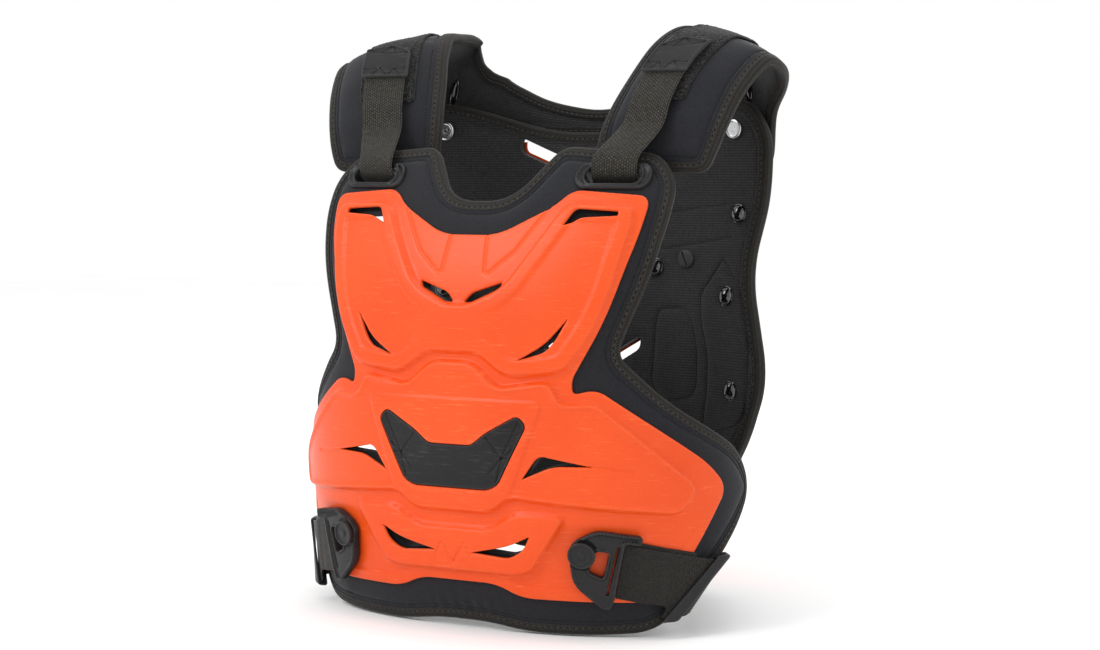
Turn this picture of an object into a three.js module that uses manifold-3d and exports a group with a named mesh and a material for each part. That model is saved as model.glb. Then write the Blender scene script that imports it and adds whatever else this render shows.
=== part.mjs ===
// Roost deflector: a chest and back protector for motocross, in millimetres, +Z up.
// +X is the wearer's left and +Y the wearer's back. The origin is where the shoulders carry it.
import * as THREE from "three";
import { mergeVertices } from "three/addons/utils/BufferGeometryUtils.js";
import Module from "manifold-3d";

const wasm = await Module();
wasm.setup();

// Driving dimensions: heights and depths from the shoulder seat
const shoulderToHem = 467;
const seatToBelly = 185.5;
const seatToBack = 72;

// Front panel
const frontPadGirth = 290;
const chestLean = 75.5;
const hemTuck = 15;
const bellyHeight = 153;
const frontWrapTop = 29;
const frontWrapWaist = 56;
const frontWrapUpper = 354;
const frontWrapLower = 199;
const wrapGirth = 200;

// Back panel
const backPadGirth = 200;
const backPadHeight = 413;
const backHemLift = 24;
const backWrapTop = 22;
const backWrapWaist = 35;
const lumbarHollow = 9;

// Padding, tape and plastic; a corner's rounding in a table is a share of softCorner
const softCorner = 20;
const padThickness = 12;
const bindingWidth = 8;
const shellWall = 2.5;
const shellGirth = 236;
const shellHeight = 328;
const shellHemLift = 29.5;
const tabRise = 38.5;
const frontPadHeight = shellHemLift + shellHeight + tabRise;
const reliefHeight = 5;
const reliefSlope = 4;
const backShellRelief = 4;
const spineWidth = 46;

// Shoulder yoke
const shoulderHalfWidth = 217;
const yokeReach = 100;
const yokeLap = 27;
const yokeDrop = shoulderToHem - frontPadHeight + yokeLap;
const collarRise = 23.6;
const shoulderRise = 66;
const yokeThickness = 10;
const yokeCrown = 13;

// Webbing, loop patch and tabs
const strapWidth = 38;
const strapThickness = 1.8;
const grommetWidth = 64;
const grommetHeight = 21;
const grommetFlange = 3.2;
const grommetRim = 9;
const patchWidth = 52;
const patchLength = 118;
const patchThickness = 2;
const tabLength = 42;
const tabWidth = 44;
const tabThickness = 3;

// Waist straps and buckles
const elasticWidth = 45;
const elasticThickness = 2;
const buckleLength = 46;
const buckleThickness = 7;
const buckleTilt = -13;
const studRadius = 10.5;
const studHeight = 3;
const sliderLength = 12;
const sliderWall = 2;

// Fasteners and the badge
const domeRadius = 8;
const domeHeight = 5;
const clearRivetRadius = 8.5;
const screwRadius = 8;
const badgeThickness = 3;

// Clearances and the fineness of the faceted skin
const seatGap = 0.9;
const sideGap = 0.8;
const facetSag = 0.8;
const looseSag = 1.1;
const yokeSag = 0.75;
const longestFacet = 110;

// Smooth ramp from 0 to 1
function ramp(t) {
  return THREE.MathUtils.smoothstep(t, 0, 1);
}

// Point on a curved panel: across follows the girth, up is the height over the hem, out is the depth.
// The panel turns by wrap degrees at wrapGirth from its centre line.
const girthSteps = 16;
const turnPower = 1.7;
function onPanel(across, up, out, depthAt, wrapAt, facing) {
  const skin = (a, z) => {
    const reach = Math.abs(a);
    let x = 0;
    let turn = 0;
    for (let i = 0; i < girthSteps; i++) {
      const s = (reach * (i + 0.5)) / girthSteps;
      const angle = THREE.MathUtils.degToRad(wrapAt(z)) * (s / wrapGirth) ** turnPower;
      x += (Math.cos(angle) * reach) / girthSteps;
      turn += (Math.sin(angle) * reach) / girthSteps;
    }
    return new THREE.Vector3(Math.sign(a) * x, depthAt(z) - facing * turn, z - shoulderToHem);
  };
  const step = 0.5;
  const sideways = skin(across + step, up).sub(skin(across - step, up));
  const upward = skin(across, up + step).sub(skin(across, up - step));
  const normal = upward.cross(sideways).normalize().multiplyScalar(facing);
  return skin(across, up).addScaledVector(normal, out);
}

// Front panel: the chest leans back above the belly, and the hem tucks in below it
const leanPower = 2.65;
const tuckPower = 1.8;
function frontDepth(up) {
  const over = up - bellyHeight;
  const lean = over > 0 ? chestLean * (over / (frontPadHeight - bellyHeight)) ** leanPower : 0;
  const tuck = over < 0 ? hemTuck * (-over / bellyHeight) ** tuckPower : 0;
  return lean + tuck - seatToBelly;
}
function frontWrap(up) {
  const share = ramp((frontWrapUpper - up) / (frontWrapUpper - frontWrapLower));
  return frontWrapTop + (frontWrapWaist - frontWrapTop) * share;
}
const onFront = (across, up, out) => onPanel(across, up, out, frontDepth, frontWrap, -1);

// Back panel: it hollows forward at the lumbar and wraps more at the waist
function backDepth(up) {
  const share = (up - backHemLift) / backPadHeight;
  return seatToBack - lumbarHollow * Math.sin(Math.PI * Math.min(1, Math.max(0, 1.25 * (0.8 - share)))) ** 2;
}
function backWrap(up) {
  const share = ramp((frontWrapUpper - up) / (frontWrapUpper - frontWrapLower));
  return backWrapTop + (backWrapWaist - backWrapTop) * share;
}
// The flat pattern of the back runs the other way, so that its face turns outwards.
const onBack = (across, up, out) => onPanel(-across, up, out, backDepth, backWrap, 1);

// Strip between two edge curves, crowned in the middle: rows hold points a and b and a crown.
// Its thickness is laid square to the strip as seen over a short reach, so sharp bends stay smooth.
function makeStrip(rows, reach = 0.5) {
  const edgeA = new THREE.CatmullRomCurve3(rows.map((row) => row.a));
  const edgeB = new THREE.CatmullRomCurve3(rows.map((row) => row.b));
  const middles = rows.map((row) => row.a.clone().lerp(row.b, 0.5));
  const stations = [0];
  for (let i = 1; i < rows.length; i++) {
    stations.push(stations[i - 1] + middles[i].distanceTo(middles[i - 1]));
  }
  const length = stations[stations.length - 1];
  const share = (along) => {
    let i = 0;
    while (i < rows.length - 2 && along > stations[i + 1]) i++;
    const part = (along - stations[i]) / (stations[i + 1] - stations[i]);
    return { row: i, part, t: (i + part) / (rows.length - 1) };
  };
  const widthAt = (along) => {
    const { t } = share(along);
    const held = THREE.MathUtils.clamp(t, 0, 1);
    return edgeA.getPoint(held).distanceTo(edgeB.getPoint(held));
  };
  const crownAt = (along) => {
    const { row, part } = share(along);
    return THREE.MathUtils.lerp(rows[row].crown ?? 0, rows[row + 1].crown ?? 0, ramp(part));
  };
  const skin = (along, across) => {
    const { t } = share(along);
    const held = THREE.MathUtils.clamp(t, 0, 1);
    const a = edgeA.getPoint(held);
    const b = edgeB.getPoint(held);
    const beyond = (t - held) * (rows.length - 1);
    const run = edgeA.getTangent(held).add(edgeB.getTangent(held)).normalize();
    const point = a.clone().lerp(b, across / widthAt(along) + 0.5);
    return point.addScaledVector(run, beyond * (stations[1] - stations[0]));
  };
  const frame = (along, across) => {
    const step = 0.5;
    const back = Math.max(0, along - reach);
    const ahead = Math.min(length, along + reach);
    const run = skin(ahead, across).sub(skin(back, across));
    const side = skin(along, across + step).sub(skin(along, across - step));
    return run.cross(side).normalize();
  };
  const point = (along, across, out) => {
    const bulge = crownAt(along) * (1 - (2 * across / widthAt(along)) ** 2);
    return skin(along, across).addScaledVector(frame(along, across), out + bulge);
  };
  return { length, stations, widthAt, point };
}

// Closed outline from corner rows, moved inwards by inset and rounded at each corner
const cornerTurn = 32;
const cornerFacet = 4.5;
const straightTurn = 14;
function outlineOf(corners, inset = 0) {
  const count = corners.length;
  const at = (i) => corners[(i + count) % count];
  const area = corners.reduce((sum, c, i) => sum + c.x * at(i + 1).y - at(i + 1).x * c.y, 0);
  const moved = corners.map((c, i) => {
    const before = new THREE.Vector2(c.x - at(i - 1).x, c.y - at(i - 1).y).normalize();
    const after = new THREE.Vector2(at(i + 1).x - c.x, at(i + 1).y - c.y).normalize();
    const turn = before.cross(after) * Math.sign(area);
    const inward = Math.sign(area);
    const nb = new THREE.Vector2(-before.y, before.x).multiplyScalar(inward);
    const na = new THREE.Vector2(-after.y, after.x).multiplyScalar(inward);
    const miter = nb.clone().add(na).multiplyScalar(inset / (1 + nb.dot(na)));
    return { x: c.x + miter.x, y: c.y + miter.y, round: Math.max(1.5, c.round - inset * Math.sign(turn)) };
  });
  const points = [];
  moved.forEach((c, i) => {
    const here = new THREE.Vector2(c.x, c.y);
    const prev = moved[(i + count - 1) % count];
    const next = moved[(i + 1) % count];
    const toPrev = new THREE.Vector2(prev.x, prev.y).sub(here);
    const toNext = new THREE.Vector2(next.x, next.y).sub(here);
    const cut = Math.min(c.round, 0.45 * toPrev.length(), 0.45 * toNext.length());
    const start = here.clone().addScaledVector(toPrev.normalize(), cut);
    const end = here.clone().addScaledVector(toNext.normalize(), cut);
    const turn = 180 - THREE.MathUtils.radToDeg(toPrev.angleTo(toNext));
    if (turn < straightTurn) {
      points.push(here);
      return;
    }
    const facets = Math.max(1, Math.min(Math.round(turn / cornerTurn), Math.round(cut / cornerFacet)));
    points.push(...new THREE.QuadraticBezierCurve(start, here, end).getPoints(facets));
  });
  return points;
}

// Rows of shares on one side become the corners of a whole symmetric outline
function mirrored(rows, width, height, base) {
  const side = rows.map((row) => ({
    x: row.across * width,
    y: base + row.up * height,
    round: row.round * softCorner,
  }));
  return [...side, ...side.map((c) => ({ ...c, x: -c.x })).reverse()];
}
function oneSided(rows, width, height, base, sign) {
  return rows.map((row) => ({
    x: sign * row.across * width,
    y: base + row.up * height,
    round: row.round * softCorner,
  }));
}

// Solids in the flat pattern
function toSolid(geometry) {
  const bare = geometry.clone();
  bare.deleteAttribute("normal");
  bare.deleteAttribute("uv");
  const merged = mergeVertices(bare, 1e-4);
  const mesh = new wasm.Mesh({
    numProp: 3,
    vertProperties: new Float32Array(merged.attributes.position.array),
    triVerts: new Uint32Array(merged.index.array),
  });
  return new wasm.Manifold(mesh);
}
function plate(outline, low, high) {
  const shape = new THREE.Shape(outline);
  const geometry = new THREE.ExtrudeGeometry(shape, { depth: high - low, bevelEnabled: false });
  return toSolid(geometry.translate(0, 0, low));
}
function raised(outline, low, high, slope) {
  const shape = new THREE.Shape(outline);
  const geometry = new THREE.ExtrudeGeometry(shape, {
    depth: high - low,
    bevelThickness: high - low,
    bevelSize: slope,
    bevelSegments: 1,
  });
  return toSolid(geometry.translate(0, 0, 2 * low - high));
}

// Each edge, as a key of its two points, with the two faces that share it
function sharedEdges(faces) {
  const edges = new Map();
  faces.forEach((f, index) => {
    for (let n = 0; n < 3; n++) {
      const pair = [f[n], f[(n + 1) % 3]].sort((a, b) => a - b).join(" ");
      if (!edges.has(pair)) edges.set(pair, []);
      edges.get(pair).push(index);
    }
  });
  return edges;
}
// Turns the diagonals of flat quads, so that the facets stay even
const angleSlack = 0.02;
const flatDot = 0.99999;
const leastArea = 0.02;
function turnDiagonals(points, faces) {
  const side = (i, j) => points[j].clone().sub(points[i]);
  const normalOf = (f) => side(f[0], f[1]).cross(side(f[0], f[2]));
  let turned = 0;
  for (const [key, owners] of sharedEdges(faces)) {
    const [i, j] = key.split(" ").map(Number);
    const [f, g] = owners.map((owner) => faces[owner]);
    if (f.stale || g.stale) continue;
    const k = f.find((v) => v !== i && v !== j);
    const m = g.find((v) => v !== i && v !== j);
    const over = side(k, i).angleTo(side(k, j)) + side(m, i).angleTo(side(m, j));
    if (over < Math.PI + angleSlack) continue;
    const nf = normalOf(f).normalize();
    const ng = normalOf(g).normalize();
    if (nf.dot(ng) < flatDot) continue;
    const start = f.indexOf(i);
    const [from, to] = f[(start + 1) % 3] === j ? [i, j] : [j, i];
    const first = [k, from, m];
    const second = [m, to, k];
    if (normalOf(first).dot(nf) < leastArea || normalOf(second).dot(nf) < leastArea) continue;
    faces[owners[0]] = first;
    faces[owners[1]] = second;
    first.stale = true;
    second.stale = true;
    turned++;
  }
  faces.forEach((f) => delete f.stale);
  return turned;
}
// A flat-pattern solid bent onto its surface: edges that would cut a corner off the curve are split
const splitPasses = 14;
const turnPasses = 12;
function bend(solid, surface, sagLimit = facetSag) {
  const mesh = solid.getMesh();
  const points = [];
  for (let i = 0; i < mesh.vertProperties.length; i += 3) {
    points.push(new THREE.Vector3().fromArray(mesh.vertProperties, i));
  }
  const faces = [];
  for (let i = 0; i < mesh.triVerts.length; i += 3) faces.push([...mesh.triVerts.subarray(i, i + 3)]);
  const bent = points.map((p) => surface(p.x, p.y, p.z));
  const settle = () => {
    for (let n = 0; n < turnPasses && turnDiagonals(points, faces) > 0; n++);
  };
  settle();
  for (let pass = 0; pass < splitPasses; pass++) {
    const wanted = [];
    for (const [key, owners] of sharedEdges(faces)) {
      const [i, j] = key.split(" ").map(Number);
      const middle = points[i].clone().lerp(points[j], 0.5);
      const place = surface(middle.x, middle.y, middle.z);
      const sag = place.distanceTo(bent[i].clone().lerp(bent[j], 0.5));
      const span = points[i].distanceTo(points[j]);
      if (sag > sagLimit || span > longestFacet) wanted.push({ i, j, owners, middle, place, span });
    }
    if (!wanted.length) break;
    wanted.sort((one, other) => other.span - one.span);
    const used = new Set();
    for (const { i, j, owners, middle, place } of wanted) {
      if (owners.some((owner) => used.has(owner))) continue;
      const fresh = points.push(middle) - 1;
      bent.push(place);
      for (const owner of owners) {
        used.add(owner);
        const f = faces[owner];
        faces[owner] = f.map((v) => (v === j ? fresh : v));
        faces.push(f.map((v) => (v === i ? fresh : v)));
        used.add(faces.length - 1);
      }
    }
    settle();
  }
  const geometry = new THREE.BufferGeometry();
  geometry.setAttribute("position", new THREE.Float32BufferAttribute(bent.flatMap((p) => p.toArray()), 3));
  geometry.setIndex(faces.flat());
  geometry.computeVertexNormals();
  return geometry;
}

// Finishes
function finish(color, roughness, metalness = 0) {
  return new THREE.MeshStandardMaterial({ color, roughness, metalness });
}
const orangePlastic = () => finish(0xf4581c, 0.35);
const blackFabric = () => finish(0x17181c, 0.9);
const blackTape = () => finish(0x22221f, 0.85);
const blackWebbing = () => finish(0x26251f, 0.8);
const blackRubber = () => finish(0x232324, 0.6);
const blackPlastic = () => finish(0x1b1b1c, 0.4);
const blackLoop = () => finish(0x121212, 1);
const clearPlastic = () => finish(0xb8c4cc, 0.1);

const group = new THREE.Group();
function add(name, geometry, material) {
  const mesh = new THREE.Mesh(geometry, material);
  mesh.name = name;
  group.add(mesh);
}
// The same piece on the wearer's left and, mirrored, on the wearer's right
function addPair(name, geometry, material) {
  add("left_" + name, geometry, material);
  const twin = new THREE.Mesh(geometry, material);
  twin.name = "right_" + name;
  twin.scale.x = -1;
  group.add(twin);
}

// Outlines of the front, as shares of the pad's and the shell's half girth and height
const frontPadRows = [
  { across: 0.097, up: 0.886, round: 1.1 },
  { across: 0.207, up: 1.0, round: 0.6 },
  { across: 0.503, up: 0.984, round: 0.8 },
  { across: 0.572, up: 0.927, round: 0.9 },
  { across: 0.573, up: 0.856, round: 1 },
  { across: 0.55, up: 0.735, round: 1.5 },
  { across: 0.472, up: 0.576, round: 0.6 },
  { across: 0.628, up: 0.477, round: 1.25 },
  { across: 0.903, up: 0.369, round: 1.5 },
  { across: 1.0, up: 0.285, round: 1.2 },
  { across: 0.572, up: 0.008, round: 1.2 },
  { across: 0.414, up: 0.001, round: 1 },
  { across: 0.207, up: 0, round: 1 },
  { across: 0.076, up: 0.014, round: 0.75 },
];
const shellRows = [
  { across: 0.11, up: 0.889, round: 0.7 },
  { across: 0.297, up: 0.959, round: 0.5 },
  { across: 0.356, up: 1.0, round: 0.4 },
  { across: 0.631, up: 0.986, round: 0.5 },
  { across: 0.617, up: 0.898, round: 1 },
  { across: 0.538, up: 0.694, round: 1.5 },
  { across: 0.432, up: 0.547, round: 0.5 },
  { across: 0.436, up: 0.511, round: 0.2 },
  { across: 0.517, up: 0.524, round: 0.4 },
  { across: 0.915, up: 0.337, round: 1 },
  { across: 1.0, up: 0.273, round: 0.7 },
  { across: 0.729, up: 0, round: 0.7 },
  { across: 0.242, up: 0.003, round: 0.5 },
  { across: 0.148, up: 0.034, round: 0.5 },
];
const chestReliefRows = [
  { across: 0.042, up: 0.712, round: 0.3 },
  { across: 0.178, up: 0.755, round: 0.6 },
  { across: 0.263, up: 0.846, round: 0.8 },
  { across: 0.356, up: 0.956, round: 0.45 },
  { across: 0.576, up: 0.951, round: 0.35 },
  { across: 0.583, up: 0.913, round: 0.5 },
  { across: 0.538, up: 0.754, round: 1.25 },
  { across: 0.492, up: 0.666, round: 1 },
  { across: 0.411, up: 0.578, round: 0.5 },
  { across: 0.364, up: 0.567, round: 0.4 },
  { across: 0.229, up: 0.557, round: 0.3 },
  { across: 0.186, up: 0.566, round: 0.3 },
  { across: 0.102, up: 0.61, round: 0.4 },
];
const bellyReliefRows = [
  { across: 0.076, up: 0.575, round: 0.4 },
  { across: 0.174, up: 0.515, round: 0.4 },
  { across: 0.356, up: 0.535, round: 0.35 },
  { across: 0.396, up: 0.48, round: 0.35 },
  { across: 0.513, up: 0.488, round: 0.4 },
  { across: 0.856, up: 0.279, round: 0.5 },
  { across: 0.792, up: 0.224, round: 0.4 },
  { across: 0.216, up: 0.261, round: 0.4 },
  { across: 0.148, up: 0.221, round: 0.4 },
];
const hemReliefRows = [
  { across: 0.148, up: 0.168, round: 0.4 },
  { across: 0.237, up: 0.212, round: 0.4 },
  { across: 0.403, up: 0.212, round: 0.3 },
  { across: 0.284, up: 0.079, round: 0.45 },
  { across: 0.229, up: 0.069, round: 0.35 },
];
const badgeRows = [
  { across: 0.085, up: 0.378, round: 0.25 },
  { across: 0.14, up: 0.41, round: 0.25 },
  { across: 0.254, up: 0.456, round: 0.25 },
  { across: 0.284, up: 0.434, round: 0.25 },
  { across: 0.182, up: 0.288, round: 0.4 },
  { across: 0.144, up: 0.274, round: 0.3 },
];
const ventRows = {
  shoulder: [
    { across: 0.352, up: 0.907, round: 0.1 },
    { across: 0.386, up: 0.95, round: 0.15 },
    { across: 0.536, up: 0.944, round: 0.1 },
    { across: 0.538, up: 0.933, round: 0.1 },
    { across: 0.411, up: 0.928, round: 0.2 },
  ],
  brow: [
    { across: 0.161, up: 0.776, round: 0.1 },
    { across: 0.153, up: 0.761, round: 0.1 },
    { across: 0.051, up: 0.726, round: 0.1 },
    { across: 0.021, up: 0.726, round: 0.1 },
    { across: 0.047, up: 0.749, round: 0.15 },
  ],
  rib: [
    { across: 0.411, up: 0.691, round: 0.1 },
    { across: 0.373, up: 0.639, round: 0.2 },
    { across: 0.341, up: 0.611, round: 0.2 },
    { across: 0.248, up: 0.59, round: 0.1 },
    { across: 0.339, up: 0.63, round: 0.2 },
  ],
  flank: [
    { across: 0.335, up: 0.361, round: 0.2 },
    { across: 0.502, up: 0.338, round: 0.1 },
    { across: 0.373, up: 0.337, round: 0.25 },
    { across: 0.267, up: 0.303, round: 0.1 },
    { across: 0.314, up: 0.352, round: 0.2 },
  ],
  hem: [
    { across: 0.288, up: 0.163, round: 0.1 },
    { across: 0.263, up: 0.127, round: 0.2 },
    { across: 0.212, up: 0.105, round: 0.2 },
    { across: 0.072, up: 0.113, round: 0.1 },
    { across: 0.212, up: 0.136, round: 0.25 },
  ],
};
const shellTable = (rows) => mirrored(rows, shellGirth, shellHeight, shellHemLift);
const ventOutlines = Object.values(ventRows).flatMap((rows) =>
  [1, -1].map((sign) => oneSided(rows, shellGirth, shellHeight, shellHemLift, sign)),
);

// Oval grommet slots in the pad's two shoulder tabs, clear above the shell
const grommetShare = 0.39;
const grommetAcross = grommetShare * frontPadGirth;
const grommetUp = shellHemLift + shellHeight + sideGap + grommetHeight / 2;
function oval(width, height, across, up) {
  const round = 0.5 * height;
  return [
    { x: across - width / 2, y: up - height / 2, round },
    { x: across + width / 2, y: up - height / 2, round },
    { x: across + width / 2, y: up + height / 2, round },
    { x: across - width / 2, y: up + height / 2, round },
  ];
}
const slotWidth = grommetWidth - 2 * grommetRim;
const slotHeight = grommetHeight - grommetRim;
const sleeveWall = 2;

// Front pad with its vents, and the tape that binds its edge
const frontPadCorners = mirrored(frontPadRows, frontPadGirth, frontPadHeight, 0);
function panel(corners, thickness) {
  return plate(outlineOf(corners, bindingWidth + sideGap), -thickness, 0);
}
function tape(corners, thickness) {
  const rim = plate(outlineOf(corners), -thickness, 0);
  return rim.subtract(plate(outlineOf(corners, bindingWidth), -thickness - 1, 1));
}
const through = 30;
let frontPad = panel(frontPadCorners, padThickness);
for (const outline of ventOutlines) {
  frontPad = frontPad.subtract(plate(outlineOf(outline), -through, through));
}
for (const sign of [1, -1]) {
  const room = oval(
    slotWidth + 2 * (sleeveWall + sideGap),
    slotHeight + 2 * (sleeveWall + sideGap),
    sign * grommetAcross,
    grommetUp,
  );
  frontPad = frontPad.subtract(plate(outlineOf(room), -through, through));
}
add("front_pad", bend(frontPad, onFront), blackFabric());
add("front_binding", bend(tape(frontPadCorners, padThickness), onFront, looseSag), blackTape());

// Front shell: one moulded sheet with raised fields, hollow behind, and vents cut through
const shellFace = seatGap + shellWall;
const reliefFields = [chestReliefRows, bellyReliefRows, hemReliefRows];
const badgeCorners = shellTable(badgeRows);
const badgeBedLevel = shellFace + reliefHeight - badgeThickness;
const badgePocket = plate(outlineOf(badgeCorners, -sideGap), badgeBedLevel, through);
let shell = plate(outlineOf(shellTable(shellRows)), seatGap, shellFace);
for (const rows of reliefFields) {
  shell = shell.add(raised(outlineOf(shellTable(rows)), shellFace, shellFace + reliefHeight, reliefSlope));
}
const behindShell = plate(
  outlineOf(oval(4 * shellGirth, 4 * shellHeight, 0, shellHeight / 2)),
  -through,
  seatGap,
);
shell = shell.subtract(behindShell);
const badgeBed = plate(outlineOf(badgeCorners, -shellWall), -through, through);
for (const rows of reliefFields) {
  const hollow = raised(outlineOf(shellTable(rows)), seatGap, seatGap + reliefHeight, reliefSlope);
  shell = shell.subtract(hollow.subtract(badgeBed));
}
shell = shell.subtract(badgePocket);
for (const outline of ventOutlines) {
  shell = shell.subtract(plate(outlineOf(outline), -through, through));
}
add("front_shell", bend(shell, onFront), orangePlastic());

const badgeFloor = badgeBedLevel + 0.5 * seatGap;
const badge = plate(outlineOf(badgeCorners), badgeFloor, badgeFloor + badgeThickness);
add("badge", bend(badge, onFront), blackRubber());

// Grommets: a flange on the pad's face and a sleeve through the pad
function grommetSolid() {
  const flange = oval(grommetWidth, grommetHeight, grommetAcross, grommetUp);
  const slot = oval(slotWidth, slotHeight, grommetAcross, grommetUp);
  const ring = plate(outlineOf(flange), seatGap, seatGap + grommetFlange);
  const sleeve = plate(outlineOf(slot, -sleeveWall), -padThickness, seatGap + 1);
  return ring.add(sleeve).subtract(plate(outlineOf(slot), -through, through));
}
addPair("grommet", bend(grommetSolid(), onFront), blackPlastic());

// Back pad with slanted slots, its tape, and the plain shell outside it
const backPadRows = [
  { across: 0.2, up: 0.93, round: 1.25 },
  { across: 0.6, up: 0.983, round: 1 },
  { across: 0.8, up: 1.0, round: 1.2 },
  { across: 0.93, up: 0.922, round: 1 },
  { across: 0.92, up: 0.8, round: 1.5 },
  { across: 0.835, up: 0.63, round: 1.2 },
  { across: 1.01, up: 0.42, round: 1.2 },
  { across: 0.88, up: 0.29, round: 1.5 },
  { across: 0.78, up: 0.22, round: 1.5 },
  { across: 0.5, up: 0.03, round: 1.2 },
  { across: 0.4, up: 0, round: 1 },
];
const backSlotRows = [
  { inner: 0.09, outer: 0.37, low: 0.847, high: 0.903, tall: 0.034 },
  { inner: 0.14, outer: 0.28, low: 0.57, high: 0.6, tall: 0.022 },
  { inner: 0.12, outer: 0.27, low: 0.433, high: 0.476, tall: 0.029 },
];
const backPadCorners = mirrored(backPadRows, backPadGirth, backPadHeight, backHemLift);
function slantedSlot(row, sign) {
  const place = (across, up) => ({
    x: sign * across * backPadGirth,
    y: backHemLift + up * backPadHeight,
    round: 0.45 * row.tall * backPadHeight,
  });
  return [
    place(row.inner, row.low - row.tall / 2),
    place(row.outer, row.high - row.tall / 2),
    place(row.outer, row.high + row.tall / 2),
    place(row.inner, row.low + row.tall / 2),
  ];
}
const backSlots = backSlotRows.flatMap((row) => [1, -1].map((sign) => slantedSlot(row, sign)));
function withSlots(solid) {
  return backSlots.reduce(
    (rest, slot) => rest.subtract(plate(outlineOf(slot), -through, through)),
    solid,
  );
}
// The back pad's outer face is at out = 0, so its inner face is one thickness nearer the wearer.
add("back_pad", bend(withSlots(panel(backPadCorners, padThickness)), onBack), blackFabric());
add("back_binding", bend(tape(backPadCorners, padThickness), onBack, looseSag), blackTape());

const collarLow = 0.921;
const backShellTop = collarLow - 0.012;
const backShellRows = [
  { across: 0.62, up: backShellTop, round: 0.9 },
  { across: 0.8, up: 0.78, round: 1.5 },
  { across: 0.72, up: 0.617, round: 1.5 },
  { across: 0.8, up: 0.42, round: 1.5 },
  { across: 0.68, up: 0.26, round: 1.5 },
  { across: 0.46, up: 0.11, round: 1 },
  { across: 0.36, up: 0.07, round: 0.7 },
];
const backShellCorners = mirrored(backShellRows, backPadGirth, backPadHeight, backHemLift);
const spineRows = [
  { across: 0.5, up: 0.82, round: 0.5 },
  { across: 0.5, up: 0.16, round: 0.5 },
];
const spineOutline = outlineOf(mirrored(spineRows, spineWidth, backPadHeight, backHemLift));
let backShell = plate(outlineOf(backShellCorners), seatGap, shellFace);
backShell = backShell.add(raised(spineOutline, shellFace, shellFace + backShellRelief, reliefSlope));
backShell = backShell.subtract(behindShell);
backShell = backShell.subtract(raised(spineOutline, seatGap, seatGap + backShellRelief, reliefSlope));
add("back_shell", bend(withSlots(backShell), onBack), orangePlastic());

// Shoulder yoke: a padded strip from chest to chest round the back of the neck.
// Rows over the shoulders are shares of the shoulder's half width, reach and drop.
const collarOut = seatGap + yokeThickness;
function backRow(innerAcross, innerUp, outerAcross, outerUp, crown = 0) {
  return {
    a: onBack(-innerAcross * backPadGirth, innerUp, collarOut),
    b: onBack(-outerAcross * backPadGirth, outerUp, collarOut),
    crown,
  };
}
const padTop = backHemLift + backPadHeight;
const collarBottom = backHemLift + collarLow * backPadHeight;
const collarTop = collarBottom + collarRise;
const collarRows = [
  { inner: 0.26, climb: 0.136, outer: 0.3, fall: 0.015, crown: 0 },
  { inner: 0.47, climb: 0.424, outer: 0.6, fall: 0.03, crown: 0.05 },
  { inner: 0.57, climb: 0.712, outer: 0.865, fall: -0.455, crown: 0.4 },
  { inner: 0.62, climb: 1, outer: 0.895, fromTop: true, fall: -0.212, crown: 0.4 },
];
const overShoulderRows = [
  { inner: [0.539, 0.24, 0.33], outer: [0.935, 0.32, -0.16], crown: 0.3 },
  { inner: [0.507, -0.02, 0.3], outer: [0.98, 0, -0.05], crown: 0.6 },
  { inner: [0.461, -0.27, 0.14], outer: [0.972, -0.32, 0], crown: 0.8 },
  { inner: [0.406, -0.52, -0.18], outer: [0.926, -0.62, -0.235], crown: 1.0 },
  { inner: [0.369, -0.71, -0.46], outer: [0.889, -0.78, -0.51], crown: 0.8 },
  { inner: [0.35, -0.82, -0.71], outer: [0.857, -0.86, -0.76], crown: 0.4 },
  { inner: [0.36, -0.87, -0.96], outer: [0.82, -0.89, -0.96], crown: 0.1 },
];
const seatPoint = ([x, y, z]) =>
  new THREE.Vector3(x * shoulderHalfWidth, y * yokeReach, z * yokeDrop);
const leftRows = [
  ...collarRows.map((row) =>
    backRow(
      row.inner,
      collarTop + row.climb * shoulderRise,
      row.outer,
      (row.fromTop ? padTop : collarBottom) + row.fall * shoulderRise,
      row.crown * yokeCrown,
    ),
  ),
  ...overShoulderRows.map((row) => ({
    a: seatPoint(row.inner),
    b: seatPoint(row.outer),
    crown: row.crown * yokeCrown,
  })),
];
const acrossBody = (point) => new THREE.Vector3(-point.x, point.y, point.z);
const yokeRows = [
  ...leftRows.map((row) => ({ a: acrossBody(row.a), b: acrossBody(row.b), crown: row.crown })).reverse(),
  backRow(0, collarTop, 0, collarBottom),
  ...leftRows,
];
const yoke = makeStrip(yokeRows, yokeThickness);
function yokeCorners() {
  const last = yoke.stations.length - 1;
  const edge = (side) =>
    yoke.stations.map((along, i) => ({
      x: along,
      y: (side * yoke.widthAt(along)) / 2,
      round: (i === 0 || i === last ? 1.3 : 0.75) * softCorner,
    }));
  return [...edge(1), ...edge(-1).reverse()];
}
const onYoke = (along, across, out) => yoke.point(along, across, out);
const yokePadFloor = -0.75 * yokeThickness;
const yokePad = plate(outlineOf(yokeCorners(), bindingWidth + 1.7 * sideGap), yokePadFloor, 0);
add("shoulder_yoke", bend(yokePad, onYoke, yokeSag), blackFabric());
add("yoke_binding", bend(tape(yokeCorners(), yokeThickness), onYoke, yokeSag), blackTape());

// Loop patch on the top of each shoulder pad
const patchMiddle = -0.15 * patchWidth;
const patchLift = 1.4 * seatGap;
const leftShoulder = (index) => yoke.stations[yokeRows.length - overShoulderRows.length + index];
const patchStart = leftShoulder(0) + 0.05 * patchLength;
const patchOutline = outlineOf(
  oval(patchLength, patchWidth, patchStart + patchLength / 2, patchMiddle).map((c) => ({
    ...c,
    round: 0.3 * softCorner,
  })),
);
addPair(
  "loop_patch",
  bend(plate(patchOutline, patchLift, patchLift + patchThickness), onYoke),
  blackLoop(),
);

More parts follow.
